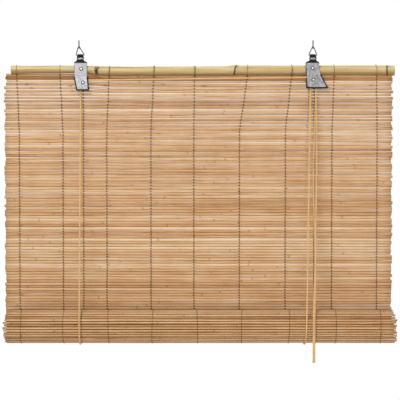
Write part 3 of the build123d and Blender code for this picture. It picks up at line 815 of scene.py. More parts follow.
# ---- cords
@dataclass
class CordRun:
    """One cord's whole line, cut into the lengths that ride on different bodies."""

    name: str
    points: list[Point]
    step: float = 1.5 * MM
    strands: int = 3
    strand_radius: float = 0.88 * MM
    strand_offset: float = 0.76 * MM
    twist_pitch: float = 9.0 * MM
    fray_length: float = 4.0 * MM

    def __post_init__(self) -> None:
        """Read the line and its directions once."""
        self.line = evenly(smooth_line(self.name, self.points), self.step)
        self.along = distances(self.line)
        self.first, self.second = frames_along(self.line)

    def cut(self, start: int, stop: int) -> slice:
        """Return the slice of the line from one point to another, both kept."""
        return slice(max(0, start), min(len(self.line), stop + 1))

    def rope(self, name: str, part: slice, fray: float = 0.0) -> bpy.types.Object:
        """Make the twisted strands of one length.

        Args:
            name: The piece's name.
            part: Which points of the line it follows.
            fray: How far the strands part at its last end, in metres.

        Returns:
            The piece.
        """
        store = MeshStore()
        line, along = self.line[part], self.along[part]
        first, second = self.first[part], self.second[part]
        near_end = np.clip(1.0 - (along[-1] - along) / self.fray_length, 0.0, 1.0)
        offset = self.strand_offset + fray * near_end
        for k in range(self.strands):
            phase = TURN * (along / self.twist_pitch + k / self.strands)
            centre = line + offset[:, None] * swing(first, second, phase)
            store.tube(centre, self.strand_radius, 7, tone=0.45 + 0.05 * k)
        return store.build(name)


@dataclass
class CordGeometry:
    """Where a cord passes round the roll: the same construction as the frame's cords."""

    gap: float = 0.3 * MM
    back_y: float = 11.9 * MM
    rise: float = 9.0 * MM

    @property
    def radius(self) -> float:
        """Return the radius of the cord's centre line round the roll."""
        return PLACES.roll_radius + self.gap + PLACES.cord_wire / 2

    def tangent(self, start_y: float, start_z: float) -> tuple[float, float, float]:
        """Return where a taut cord from a pulley meets the roll's cord circle, and its lean."""
        run_y, run_z = start_y - PLACES.roll_y, start_z - PLACES.roll_z
        lean = math.atan2(run_y, run_z) + math.asin(self.radius / math.hypot(run_y, run_z))
        y = PLACES.roll_y - self.radius * math.cos(lean)
        return y, PLACES.roll_z + self.radius * math.sin(lean), lean

    def corners(self, lean: float) -> list[tuple[float, float]]:
        """Return the corners of the tangent lines round the underside of the roll."""
        directions = (0.0, 38.0, 76.0, 114.0, 152.0, 180.0 + math.degrees(lean))
        offsets = (self.back_y - PLACES.roll_y,) + (self.radius,) * 5
        found = []
        for start, stop, reach, following in zip(directions, directions[1:], offsets, offsets[1:]):
            first = math.radians(start)
            turn = math.radians(stop) - first
            along = (following - reach * math.cos(turn)) / math.sin(turn)
            y = PLACES.roll_y + reach * math.cos(first) - along * math.sin(first)
            found.append((y, PLACES.roll_z - reach * math.sin(first) - along * math.cos(first)))
        return found

    def sling(self, front_x: float, back_x: float, kink: Point) -> list[Point]:
        """Return the points of a sling, from behind the screen up to the strand in front.

        Args:
            front_x: Where it comes up in front.
            back_x: Where it goes down behind.
            kink: The point below the pulley that its strand runs to.

        Returns:
            The route's points.
        """
        touch_y, touch_z, lean = self.tangent(kink[1], kink[2])
        corners = self.corners(lean)
        points = [(back_x, self.back_y, corners[0][1] + math.dist(corners[0], corners[1]))]
        for i, (y, z) in enumerate(corners):
            share = (i + 1) / (len(corners) + 1)
            points.append((back_x + (front_x - back_x) * share, y, z))
        share = self.rise / math.hypot(touch_y - kink[1], touch_z - kink[2])
        touch = (front_x, touch_y, touch_z)
        return points + [tuple(a + (b - a) * share for a, b in zip(touch, kink))]


@dataclass
class Cords:
    """The two lift cords with their slings, back strands and knots, and the two pull cords.

    Its places are in millimetres. back_end and front_start are the heights over the roll's axis
    where the sling takes over from the strand behind and hands on to the strand in front.
    """

    knot_top: float = -41.5
    back_y: float = 11.9
    left_x: float = -236.8
    right_knot_x: float = 234.0
    leave_x: float = 246.1
    leave_z: float = -88.5
    back_end: float = 12.0
    front_start: float = 40.0

    def build(self) -> None:
        """Make every cord piece."""
        self.left()
        self.right()
        self.pull_cords()
        self.knots()

    def split(self, run: CordRun, side: str, anchor: float) -> None:
        """Cut a lift cord where its bodies change and make its pieces.

        Args:
            run: The cord's whole line, from its knot.
            side: left or right.
            anchor: The height where the front strand hangs from its pulley, in metres.
        """

        def piece(
            title: str, start: int, stop: int, body: Body, *replaced: str
        ) -> bpy.types.Object:
            """Make the rope between two points of the line."""
            rope = run.rope(f"{side}_{title}_rope", run.cut(start, stop))
            return settle(rope, "cord", body, *replaced)

        def shorten(rope: bpy.types.Object, high: int) -> None:
            """Give a hanging strand its own copy of its mesh."""
            hung_place(0, 0, z[high])
            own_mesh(rope)

        z = run.line[:, 2]
        lowest = int(np.argmin(z))
        back_end = int(np.argmax(z < PLACES.roll_z + self.back_end * MM))
        front = lowest + int(np.argmax(z[lowest:] > PLACES.roll_z + self.front_start * MM))
        top = lowest + int(np.argmax(z[lowest:] > anchor))
        shorten(piece("back", 0, back_end, Body.HEAD, f"{side}_back_cord"), 0)
        piece("sling", back_end, front, Body.SLINGS, f"{side}_sling_cord")
        shorten(piece("front", front, top, Body.HEAD), top)
        piece("lock", top, len(z) - 1, Body.HEAD, f"{side}_lift_cord")

    def left(self) -> None:
        """Make the left cord: back strand, sling, front strand, pulley and the run to the lock."""
        x, leave = self.left_x, self.leave_x
        (kink,) = metres((x, 1.7, -82.7))
        sling = CordGeometry().sling(x * MM, x * MM, kink)
        points = metres((x, self.back_y, self.knot_top)) + sling + metres(
            (x, 0.1, -94.7), (x, 1.7, -82.7), (x, 1.7, -73.7), (-227.8, 1.66, -73.6),
            (-215.0, 1.6, -73.4), (229.0, -0.37, -67.9), (238.5, -0.42, -67.7),
            (leave, -0.45, -67.65), (leave, -0.45, -75.3), (leave, -0.45, self.leave_z),
        )
        self.split(CordRun("left_lift_line", points), "left", -82.0 * MM)

    def right(self) -> None:
        """Make the right cord: back strand, sling, front strand and the lock's back pulley."""
        x, leave = 235.4, self.leave_x
        (kink,) = metres((x, 3.55, -77.0))
        sling = CordGeometry().sling(224.6 * MM, 219.0 * MM, kink)
        points = metres((self.right_knot_x, self.back_y, self.knot_top)) + sling + metres(
            (235.1, 1.9, -89.0), (x, 3.55, -77.0), (x, 3.55, -67.65), (leave, 3.55, -67.65),
            (leave, 3.55, -78.0), (leave, 3.55, self.leave_z),
        )
        self.split(CordRun("right_lift_line", points), "right", -77.0 * MM)

    def pull_cords(self) -> None:
        """Make the two pull cords, cut off bare at their lower ends."""
        left = (
            (246.1, -0.45, -88.5), (246.1, -0.45, -104.0), (246.9, -2.8, -134.0),
            (247.4, -5.8, -180.0), (247.5, -9.4, -230.0), (247.0, -13.4, -282.0),
            (245.9, -18.2, -336.0), (244.6, -24.0, -390.0), (243.9, -30.9, -442.0),
            (243.2, -39.1, -490.0), (241.9, -50.2, -532.0), (240.6, -64.6, -573.0),
            (240.4, -64.9, -612.0), (240.3, -64.4, -647.0),
        )
        right = (
            (246.1, 3.55, -88.5), (246.1, 3.55, -104.0), (245.2, 1.2, -134.0),
            (243.2, -2.0, -180.0), (241.4, -6.6, -230.0), (240.6, -11.6, -282.0),
            (241.4, -16.0, -336.0), (243.0, -20.8, -390.0), (243.4, -27.5, -442.0),
            (241.8, -36.0, -490.0), (239.4, -49.2, -532.0), (237.9, -64.6, -573.0),
            (237.6, -64.8, -612.0), (237.8, -64.3, -647.0),
        )
        for side, route, length in (("left", left, 0.564), ("right", right, 0.565)):
            points = metres(*route)
            run = CordRun(f"{side}_pull_line", points)
            piece = run.rope(f"{side}_pull_rope", run.cut(0, len(run.line) - 1), fray=0.5 * MM)
            settle(piece, "cord", Body.HEAD, f"{side}_pull_cord")
            hung_place(*points[0])
            [hung_place(*place) for place in run.line]

    def knots(self) -> None:
        """Make the stopper knots on top of the pole."""
        a, b, c = trefoil(64)
        seats = (("left", self.left_x, 8.3, -52.0), ("right", self.right_knot_x, 10.5, -53.3))
        for side, x, radius, height in seats:
            behind = self.back_y - (PLACES.pole_front_y / MM + radius)
            top = height + math.sqrt(radius**2 - behind**2)
            line = columns(x + 0.78 * a, self.back_y + 0.78 * b, top + 3.6 - 1.3 * c) * MM
            store = MeshStore()
            store.tube(line, 1.25 * MM, 10, tone=0.5, loop=True)
            tail = metres((x, self.back_y, top + 2.0), (x, self.back_y, top + 6.5),
                          (x + 2.5, 11.4, top + 9.0), (x + 5.0, 12.6, top + 7.4))
            end = evenly(smooth_line(f"{side}_tail_line", tail), 0.6 * MM)
            store.tube(end, 1.2 * MM, 10, tone=0.6)
            settle(store.build(f"{side}_stopper_knot"), "cord", Body.HEAD, f"{side}_cord_knot")


# ---- head pole
@dataclass
class HeadPole:
    """The bamboo culm, its nodes and scars, and the twine that ties the screen to it.

    bumps are height, place and breadth of the ridges and grooves at a node. strokes are the dark
    scars, each from one x and distance round the skin to another. Both are in millimetres.
    """

    left: float = -380.0 * MM
    right: float = 408.0 * MM
    wall: float = 2.6 * MM
    nodes: tuple[float, ...] = (-203.0, 81.0, 393.0)
    radii: tuple[float, ...] = (8.3, 9.7, 10.5, 10.7)
    heights: tuple[float, ...] = (-52.0, -54.6, -53.3, -53.6)
    double_ties: tuple[float, ...] = (-178.7, -86.9, 196.4, -3.1)
    bumps: tuple[Point, ...] = (
        (0.9, 1.6, 2.6), (0.55, -2.3, 0.9), (-0.45, -0.6, 0.7), (0.5, -7.0, 9.0),
    )
    strokes: tuple[tuple[float, float, float, float], ...] = (
        (-206.5, 7.0, -202.0, -1.0), (-200.0, 7.5, -205.5, -2.0), (-203.5, -2.0, -201.0, -7.5),
        (-207.5, 2.0, -204.5, -7.0),
        (84.5, 13.0, 80.0, 4.0), (80.0, 4.0, 79.0, -4.0), (79.0, -4.0, 77.5, -12.0),
        (392.0, 12.0, 391.5, 0.0), (391.5, 0.0, 393.0, -12.0),
    )
    scar_depth: float = 2.2
    scar_width: float = 0.85
    around: int = 56
    seed: int = 11

    def blend(self, x: float, values: Sequence[float]) -> float:
        """Return a size at x, which changes smoothly up to each node."""
        result = values[0]
        for i, node in enumerate(self.nodes):
            result += (values[i + 1] - values[i]) * ease((x / MM - node + 26.0) / 28.0)
        return result * MM

    def ridge(self, x: float) -> float:
        """Return how far the skin stands out at x, with a scar groove and a ridge at each node."""
        out = 0.0
        for node in self.nodes:
            d = x / MM - node
            for high, centre, wide in self.bumps:
                out += high * math.exp(-((d - centre) / wide) ** 2)
        return out * MM

    def scar(self, x: float, around: float) -> float:
        """Return how dark the skin is at a place.

        Args:
            x: The place along the pole.
            around: The distance round the skin from its front line, up positive, in metres.

        Returns:
            A value from 0 for clean to 1 for black.
        """
        dark = 0.0
        px, ps = x / MM, around / MM
        for x0, s0, x1, s1 in self.strokes:
            dx, ds = x1 - x0, s1 - s0
            t = held(((px - x0) * dx + (ps - s0) * ds) / (dx * dx + ds * ds))
            gap = math.hypot(px - x0 - t * dx, ps - s0 - t * ds)
            dark = max(dark, self.scar_depth - gap / self.scar_width)
        for node in self.nodes:
            ring = 0.75 * math.exp(-((px - node + 0.7) / 0.9) ** 2)
            dark = max(dark, 0.7 * ring, 0.1 * math.exp(-((px - node - 2.0) / 5.0) ** 2))
        return held(dark)

    def stations(self) -> list[float]:
        """Return the places of the culm's sections, close together at its nodes."""
        places = set(np.arange(self.left, self.right, 6.0 * MM).round(6).tolist())
        for node in self.nodes:
            start, stop = max(self.left, (node - 12) * MM), min(self.right, (node + 12) * MM)
            places |= set(np.arange(start, stop, 0.7 * MM).round(6).tolist())
        return sorted(places | {self.right})

    def build(self) -> None:
        """Make the culm and its ties."""
        rng = random.Random(self.seed)
        angles = round_turn(self.around)
        rows, marks = [], []
        for x in self.stations():
            base = self.blend(x, self.radii)
            radius = base + self.ridge(x) + 0.12 * MM * math.sin(x * 61.0) - 0.12 * MM
            height = self.blend(x, self.heights) + 0.25 * MM * math.sin(x * 23.0 + 1.0)
            oval = 1.0 + 0.012 * np.cos(2 * angles + 2.0 + x * 9.0)
            y = PLACES.pole_front_y + base + 0.1 * MM - radius * oval * np.cos(angles)
            z = height + radius * oval * np.sin(angles)
            rows.append(columns(x, y, z))
            signed = np.where(angles > math.pi, angles - TURN, angles) * radius
            marks.append([self.scar(x, s) for s in signed])
        store = MeshStore()
        outer = np.array(rows)
        store.grid(outer, 0.5, np.array(marks), caps=False)
        # painted shade: the open ends darken inside the bore, deepest at the bottom, standing in
        # for the shade in the hollow
        shade = np.array([0.0, 0.12, 0.25, 0.8, 0.9])
        for end, inward, deep in ((outer[0], 1, 60.0), (outer[-1], -1, 9.0)):
            centre = end.mean(axis=0)
            spoke = end - centre
            size = float(np.linalg.norm(spoke, axis=1).mean())
            bore = (size - self.wall) / size
            rim = (size - 0.3 * MM) / size
            levels = ((1.0, 0.0), (rim, -0.25), (bore, -0.2), (bore, deep), (0.02, deep + 0.8))
            cup = [centre + spoke * k + np.array([inward * d * MM, 0, 0]) for k, d in levels]
            store.grid(np.array(cup)[::-inward], 0.5, shade[::-inward], caps=False)
        settle(store.build("bamboo_head_pole"), "culm", Body.HEAD, "head_pole")
        self.ties(rng)

    def ties(self, rng: random.Random) -> None:
        """Make the twine loops round the culm, each of two plies, with a knot behind."""
        store = MeshStore()
        turns = round_turn(72)
        a, b, c = trefoil(36)
        for x in PLACES.tie_x:
            for k in range(2 if x in self.double_ties else 1):
                middle = (x + 1.7 * k) * MM
                base = self.blend(middle, self.radii) + self.ridge(middle) + 0.9 * MM
                slant = rng.uniform(-1.6, 1.6) * MM
                loop = columns(
                    middle + slant * np.sin(turns) + 0.25 * MM * np.sin(3 * turns + k),
                    PLACES.pole_front_y + base - 0.8 * MM - base * np.cos(turns),
                    self.blend(middle, self.heights) + base * np.sin(turns),
                )
                first, second = frames_along(loop)
                for ply in (0, 1):
                    wound = loop + 0.3 * MM * swing(first, second, 18 * turns + math.pi * ply)
                    store.tube(wound, 0.33 * MM, 6, tone=0.35 + 0.3 * ply, loop=True)
            knot_y = PLACES.pole_front_y + 2 * self.blend(x * MM, self.radii) + 1.0 * MM
            knot_z = self.blend(x * MM, self.heights) - 1.5 * MM
            knot = columns(x * MM + 0.55 * MM * a, knot_y + 0.35 * MM * c, knot_z + 0.55 * MM * b)
            store.tube(knot, 0.5 * MM, 6, tone=0.45, loop=True)
        settle(store.build("twine_pole_ties"), "twine", Body.HEAD, "pole_ties")


# ---- screen
@dataclass
class Slat:
    """One split strip: its centre line, width and thickness, its tones and its joints.

    Its section runs across, down its width, and outward, towards the room; split says how much
    painted shade each corner's skin carries, darkest along the lower edge and the back, standing in
    for the shadow in the gaps between slats.
    """

    rng: random.Random
    left: float
    right: float
    pieces: int
    broad: float
    splay: float
    last_warp: ClassVar[float] = 0.372
    across: ClassVar[np.ndarray] = np.array([-0.5, -0.42, -0.24, 0.2, 0.38, 0.5, 0.46, -0.46])
    outward: ClassVar[np.ndarray] = np.array([-0.1, 0.36, 0.5, 0.5, 0.36, -0.1, -0.5, -0.5])
    # painted shade along the strip's edges and back, standing in for the shadow under each slat
    split: ClassVar[np.ndarray] = np.array([0.75, 0.12, 0.0, 0.0, 0.4, 1.0, 0.9, 0.9])

    def __post_init__(self) -> None:
        """Draw this strip's own shape."""
        rng = self.rng
        base = np.linspace(self.left, self.right, self.pieces)
        joints = [rng.uniform(self.left, self.right)]
        joints.append(joints[0] + rng.choice((-1, 1)) * rng.uniform(0.25, 0.38))
        joints = [j for j in joints if self.left + 0.01 < j < self.right - 0.01]
        extra = [j + d * MM for j in joints for d in (-3.0, -1.0, 0.0, 1.0, 3.0)]
        self.x = np.array(sorted(base.tolist() + extra))

        def wave(low: float, high: float) -> tuple[float, float]:
            """Draw a wave's frequency and phase."""
            return rng.uniform(low, high), rng.uniform(0, 6.3)

        waves = [(*wave(4, 12), rng.uniform(0.05, 0.2)) for _ in range(2)]
        waves += [(*wave(25, 60), rng.uniform(0.03, 0.1)) for _ in range(2)]
        self.sway = sum(a * np.sin(f * self.x + p) for f, p, a in waves) * MM
        bow = [wave(6, 20) for _ in range(2)]
        self.depth = 0.12 * MM * sum(np.sin(f * self.x + p) for f, p in bow)
        width = rng.uniform(0.95, 1.03)
        frequency, phase = wave(5, 16)
        self.width = self.broad * (width + 0.03 * np.sin(frequency * self.x + phase))
        loose = np.clip(np.abs(self.x) - self.last_warp, 0.0, 1.0) * np.sign(self.x)
        spread = self.splay * rng.uniform(-1.0, 1.0) * loose
        self.sway += spread + self.splay * rng.uniform(-0.012, 0.012) * self.x
        swell = np.sin(1.7 * frequency * self.x + phase)
        self.thick = PLACES.slat_thickness * (0.95 + 0.12 * swell)
        self.mark = np.zeros_like(self.x)
        for joint in joints:
            near = np.exp(-(((self.x - joint) / (1.1 * MM)) ** 2))
            self.mark = np.maximum(self.mark, 0.55 * near)
            self.depth -= 0.35 * MM * np.exp(-(((self.x - joint) / (2.2 * MM)) ** 2))
            self.thick += 0.3 * MM * near
        tone = rng.choice((0.42, 0.5, 0.58, 0.66)) + rng.uniform(-0.1, 0.1)
        if rng.random() < 0.09:
            tone = rng.uniform(0.84, 0.98)
        if rng.random() < 0.08:
            tone = rng.uniform(0.16, 0.3)
        drift, shift = wave(3, 9)
        self.tone = np.clip(tone + 0.08 * np.sin(drift * self.x + shift), 0.0, 1.0)
        self.tilt = rng.uniform(-0.07, 0.07)
        # how strong this strip's painted edge shade is
        self.edge = rng.choice((0.5, 0.75, 0.9, 1.0))

    def shade(self) -> np.ndarray:
        """Return the strip's marks: its dark joints, and painted shade along its edges where the
        gaps between slats fall in shadow.
        """
        return np.maximum(self.mark[:, None], self.split[None, :] * self.edge)

    def rows(self, to_place: Callable[[np.ndarray, np.ndarray], Pair]) -> np.ndarray:
        """Return the strip's skin.

        Args:
            to_place: Turns distances across and out into y and z.

        Returns:
            Points in rows, one row a station.
        """
        across = self.width[:, None] * self.across[None, :] + self.sway[:, None]
        out = self.thick[:, None] * self.outward[None, :] + self.depth[:, None] + self.tilt * across
        return columns(self.x[:, None], *to_place(across, out))


@dataclass
class HangingScreen:
    """The flat part of the screen: slats, twined warp threads and stray thread ends."""

    left: float = -394.0 * MM
    right: float = 404.0 * MM
    short_by: float = 2.6 * MM
    short_slats: int = 4
    splay: float = 0.012
    # painted shade: how much darker the three slats bound under the pole are made, standing in for
    # the pole's shadow
    bound_shade: float = 0.16
    folded_share: float = 0.01
    gap_thread: float = 0.16 * MM
    thread_bead: float = 1.3 * MM
    seed: int = 5

    def build(self) -> None:
        """Make the slats and threads, the lower ones as pieces of their own."""
        rng = random.Random(self.seed)
        upper, lower = MeshStore(), MeshStore()
        levels = PLACES.levels()
        for i, level in enumerate(levels):
            trim = (rng.uniform(-1.5, 2.2) * MM, rng.uniform(-2.2, 1.8) * MM)
            short = self.short_by if i < self.short_slats else 0.0
            left, right = self.left + trim[0] + short, self.right + trim[1] - short * 0.5
            slat = Slat(rng, left, right, 44, PLACES.width_at(level), self.splay)
            rise = PLACES.rise(slat.x, i)[:, None]

            def to_place(across: np.ndarray, out: np.ndarray) -> Pair:
                """Set the strip upright at its level."""
                return PLACES.screen_y - out, level - across + rise

            store = upper if level > PLACES.squash_z else lower
            # painted light: the slats in the upper part of the screen are made paler towards the
            # top, standing in for the light falling there
            lift = 0.06 * max(0.0, (level + 0.3) / 0.23)
            # painted shade: the bound slats under the pole are darkened
            deep = self.bound_shade if i < PLACES.bound_slats else 0.0
            store.grid(slat.rows(to_place), slat.tone + lift - deep, slat.shade())
        settle(upper.build("screen_upper_slats"), "slat", Body.HEAD, "screen_slats")
        self.fold(settle(lower.build("screen_lower_slats"), "slat", Body.HEAD))
        self.threads(rng, levels)
        self.stray_ends(rng)

    def fold(self, piece: bpy.types.Object) -> None:
        """Give a piece its own copy of its mesh."""
        anchor = hung_place(0, 0, PLACES.squash_z)
        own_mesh(piece)

    def threads(self, rng: random.Random, levels: Sequence[float]) -> None:
        """Make the two threads of each warp line, crossing between the slats."""
        upper, lower = MeshStore(), MeshStore()
        out = PLACES.slat_thickness / 2 + 0.5 * MM
        sunk, half, dive = 0.3 * MM, 0.45 * MM, 1.6 * MM
        for top_x, low_x in PLACES.warps():
            start = 1 if top_x == low_x else 0
            for side in (-1.0, 1.0):
                points: list[list[float]] = []
                for i, level in enumerate(levels[start:]):
                    share = held((level - PLACES.settle_z) / (levels[0] - PLACES.settle_z))
                    x = low_x + (top_x - low_x) * share
                    x += 0.25 * MM * math.sin(level * 90.0 + low_x * 70.0)
                    face = side * (1.0 if i % 2 else -1.0)
                    lean = 0.5 * MM * face
                    jitter = rng.uniform(-0.15, 0.15) * MM
                    z = level + float(PLACES.rise(np.array([x]), start + i)[0])
                    for reach, above in ((sunk, dive), (out, half), (out, -half), (sunk, -dive)):
                        across = lean * above / half if reach == out else 0.0
                        y = PLACES.screen_y + reach * face
                        points.append([x + across + jitter, y, z + above])
                    if i + 1 < len(levels[start:]):
                        following = levels[start + i + 1]
                        points.append([x - 1.1 * lean, PLACES.screen_y, (z + following) / 2])
                line = np.array(points)
                inside = np.abs(line[:, 1] - PLACES.screen_y) < 0.6 * MM
                thick = np.where(inside, self.gap_thread, self.thread_bead)
                cut = int(np.argmax(line[:, 2] < PLACES.squash_z))
                tone = rng.uniform(0.3, 0.6)
                upper.tube(line[: cut + 1], thick[: cut + 1], 6, tone=tone)
                lower.tube(line[cut:], thick[cut:], 6, tone=tone)
        settle(upper.build("warp_upper_threads"), "thread", Body.HEAD, "warp_threads")
        self.fold(settle(lower.build("warp_lower_threads"), "thread", Body.HEAD))

    def stray_ends(self, rng: random.Random) -> None:
        """Make the loose thread ends that curl on the slats below the ties."""
        store = MeshStore()
        front = PLACES.screen_y / MM - 1.6
        spots = (
            (-352.0, -84.0), (-340.0, -90.0), (-262.0, -86.0), (-190.0, -84.5), (-70.0, -83.0),
            (12.0, -86.0), (268.0, -87.0), (356.0, -85.0), (226.0, -82.0),
        )
        for x, z in spots:
            reach = rng.uniform(5.0, 9.0)
            drop = rng.uniform(-3.5, 1.0)
            curl = metres(
                (x, front, z), (x + 0.3 * reach, front - 0.8, z + 2.0),
                (x + 0.7 * reach, front - 0.4, z + 0.4 * drop), (x + reach, front - 0.9, z + drop),
            )
            store.tube(evenly(smooth_line("stray_line", curl), 0.6 * MM), 0.38 * MM, 6, tone=0.5)
        settle(store.build("stray_thread_ends"), "thread", Body.HEAD)


# ---- roll
@dataclass
class Roll:
    """The rolled part of the screen: its turns of slats and the threads round them."""

    left: float = -382.0 * MM
    right: float = 403.0 * MM
    outer: float = 33.25 * MM
    layer: float = 2.35 * MM
    pitch: float = 5.5 * MM
    turns: int = 12
    core: float = 6.6 * MM
    outer_end: float = 372.0
    hidden_from: float = 740.0
    gap_reach: float = 0.378
    splay: float = 0.035
    thread_x: tuple[float, ...] = (
        -357.0, -269.6, -178.4, -88.4, 2.2, 93.7, 189.4, 285.0, 376.5, -233.0, 243.0,
    )
    seed: int = 23

    def radius_at(self, angle: float) -> float:
        """Return the radius of a slat's centre at an angle on its way into the roll.

        Args:
            angle: Degrees from the back of the roll, turning down and to the front.

        Returns:
            The radius in metres.
        """
        start = (PLACES.screen_y - PLACES.roll_y - self.outer) * (1.0 - ease(angle / 45.0))
        done = 0.0
        for turn in range(self.turns):
            done += ease((angle - 330.0 - 360.0 * turn) / 75.0)
        uneven = 0.22 * MM * math.sin(math.radians(3 * angle + 40.0)) if angle > 45.0 else 0.0
        return self.outer + start - self.layer * done + uneven

    def tips(self, angle: float, rng: random.Random) -> tuple[float, float]:
        """Return where a slat of the roll ends at its left and right."""
        lead = max(0.0, math.cos(math.radians(angle - 165.0)))
        inner = 0.004 * (angle / 360.0) ** 0.7 if angle > 360.0 else 0.0
        left = self.left - 9.5 * MM * lead + inner + rng.uniform(-2.2, 2.2) * MM
        right = self.right + 5.5 * MM * lead - inner + rng.uniform(-2.5, 1.8) * MM
        return left, right

    def build(self) -> None:
        """Make the slats of every turn and the threads."""
        rng = random.Random(self.seed)
        store = MeshStore()
        angle = 3.0
        outer_angles: list[float] = []
        while angle < 360.0 * self.turns:
            radius = self.radius_at(angle)
            if radius < self.core:
                break
            left, right = self.tips(angle, rng)
            pieces = 40 if angle < self.hidden_from else 5
            slat = Slat(rng, left, right, pieces, rng.uniform(4.2, 5.15) * MM, self.splay)
            if angle < self.outer_end:
                outer_angles.append(angle)
            turn = math.radians(angle)

            def to_place(across: np.ndarray, out: np.ndarray) -> Pair:
                """Set the strip on its turn, its skin outwards."""
                r = radius + out
                y = PLACES.roll_y + r * math.cos(turn) - across * math.sin(turn)
                return y, PLACES.roll_z - r * math.sin(turn) - across * math.cos(turn)

            shade = slat.shade()
            # painted shade: the second turn, seen between the outer slats, is marked fully dark
            # inside the warp span, standing in for the shade inside the roll
            if self.outer_end <= angle < self.hidden_from:
                inner_turn_shade = np.where(np.abs(slat.x) < self.gap_reach, 1.0, 0.0)
                shade = np.maximum(shade, inner_turn_shade[:, None])
            store.grid(slat.rows(to_place), slat.tone, shade)
            angle += math.degrees(self.pitch * rng.uniform(0.96, 1.04) / radius)
        settle(store.build("rolled_bamboo_screen"), "slat", Body.ROLL, "rolled_screen")
        self.threads(rng, outer_angles)

    def threads(self, rng: random.Random, angles: Sequence[float]) -> None:
        """Make the warp threads round the outer turn."""
        store = MeshStore()
        for x in self.thread_x:
            drift, phase = rng.uniform(0.5, 1.6), rng.uniform(0, 6.3)
            for side in (-1.0, 1.0):
                rows = []
                for i, angle in enumerate(angles):
                    face = side * (1.0 if i % 2 else -1.0)
                    radius = self.radius_at(angle)
                    reach = (PLACES.slat_thickness / 2 + 0.28 * MM) * face
                    half = math.degrees(1.5 * MM / radius)
                    where = (x + drift * math.sin(math.radians(angle) + phase)) * MM
                    rows.append((where + 0.3 * MM * face, radius + reach, angle - half))
                    rows.append((where - 0.3 * MM * face, radius + reach, angle + half))
                    if i + 1 < len(angles):
                        rows.append((where, radius, (angle + angles[i + 1]) / 2))
                where, r, turn = np.array(rows).T
                turn = np.radians(turn)
                y, z = PLACES.roll_y + r * np.cos(turn), PLACES.roll_z - r * np.sin(turn)
                line = columns(where, y, z)
                store.tube(line, 0.5 * MM, 6, tone=rng.uniform(0.3, 0.6))
        settle(store.build("roll_warp_threads"), "roll_thread", Body.ROLL)


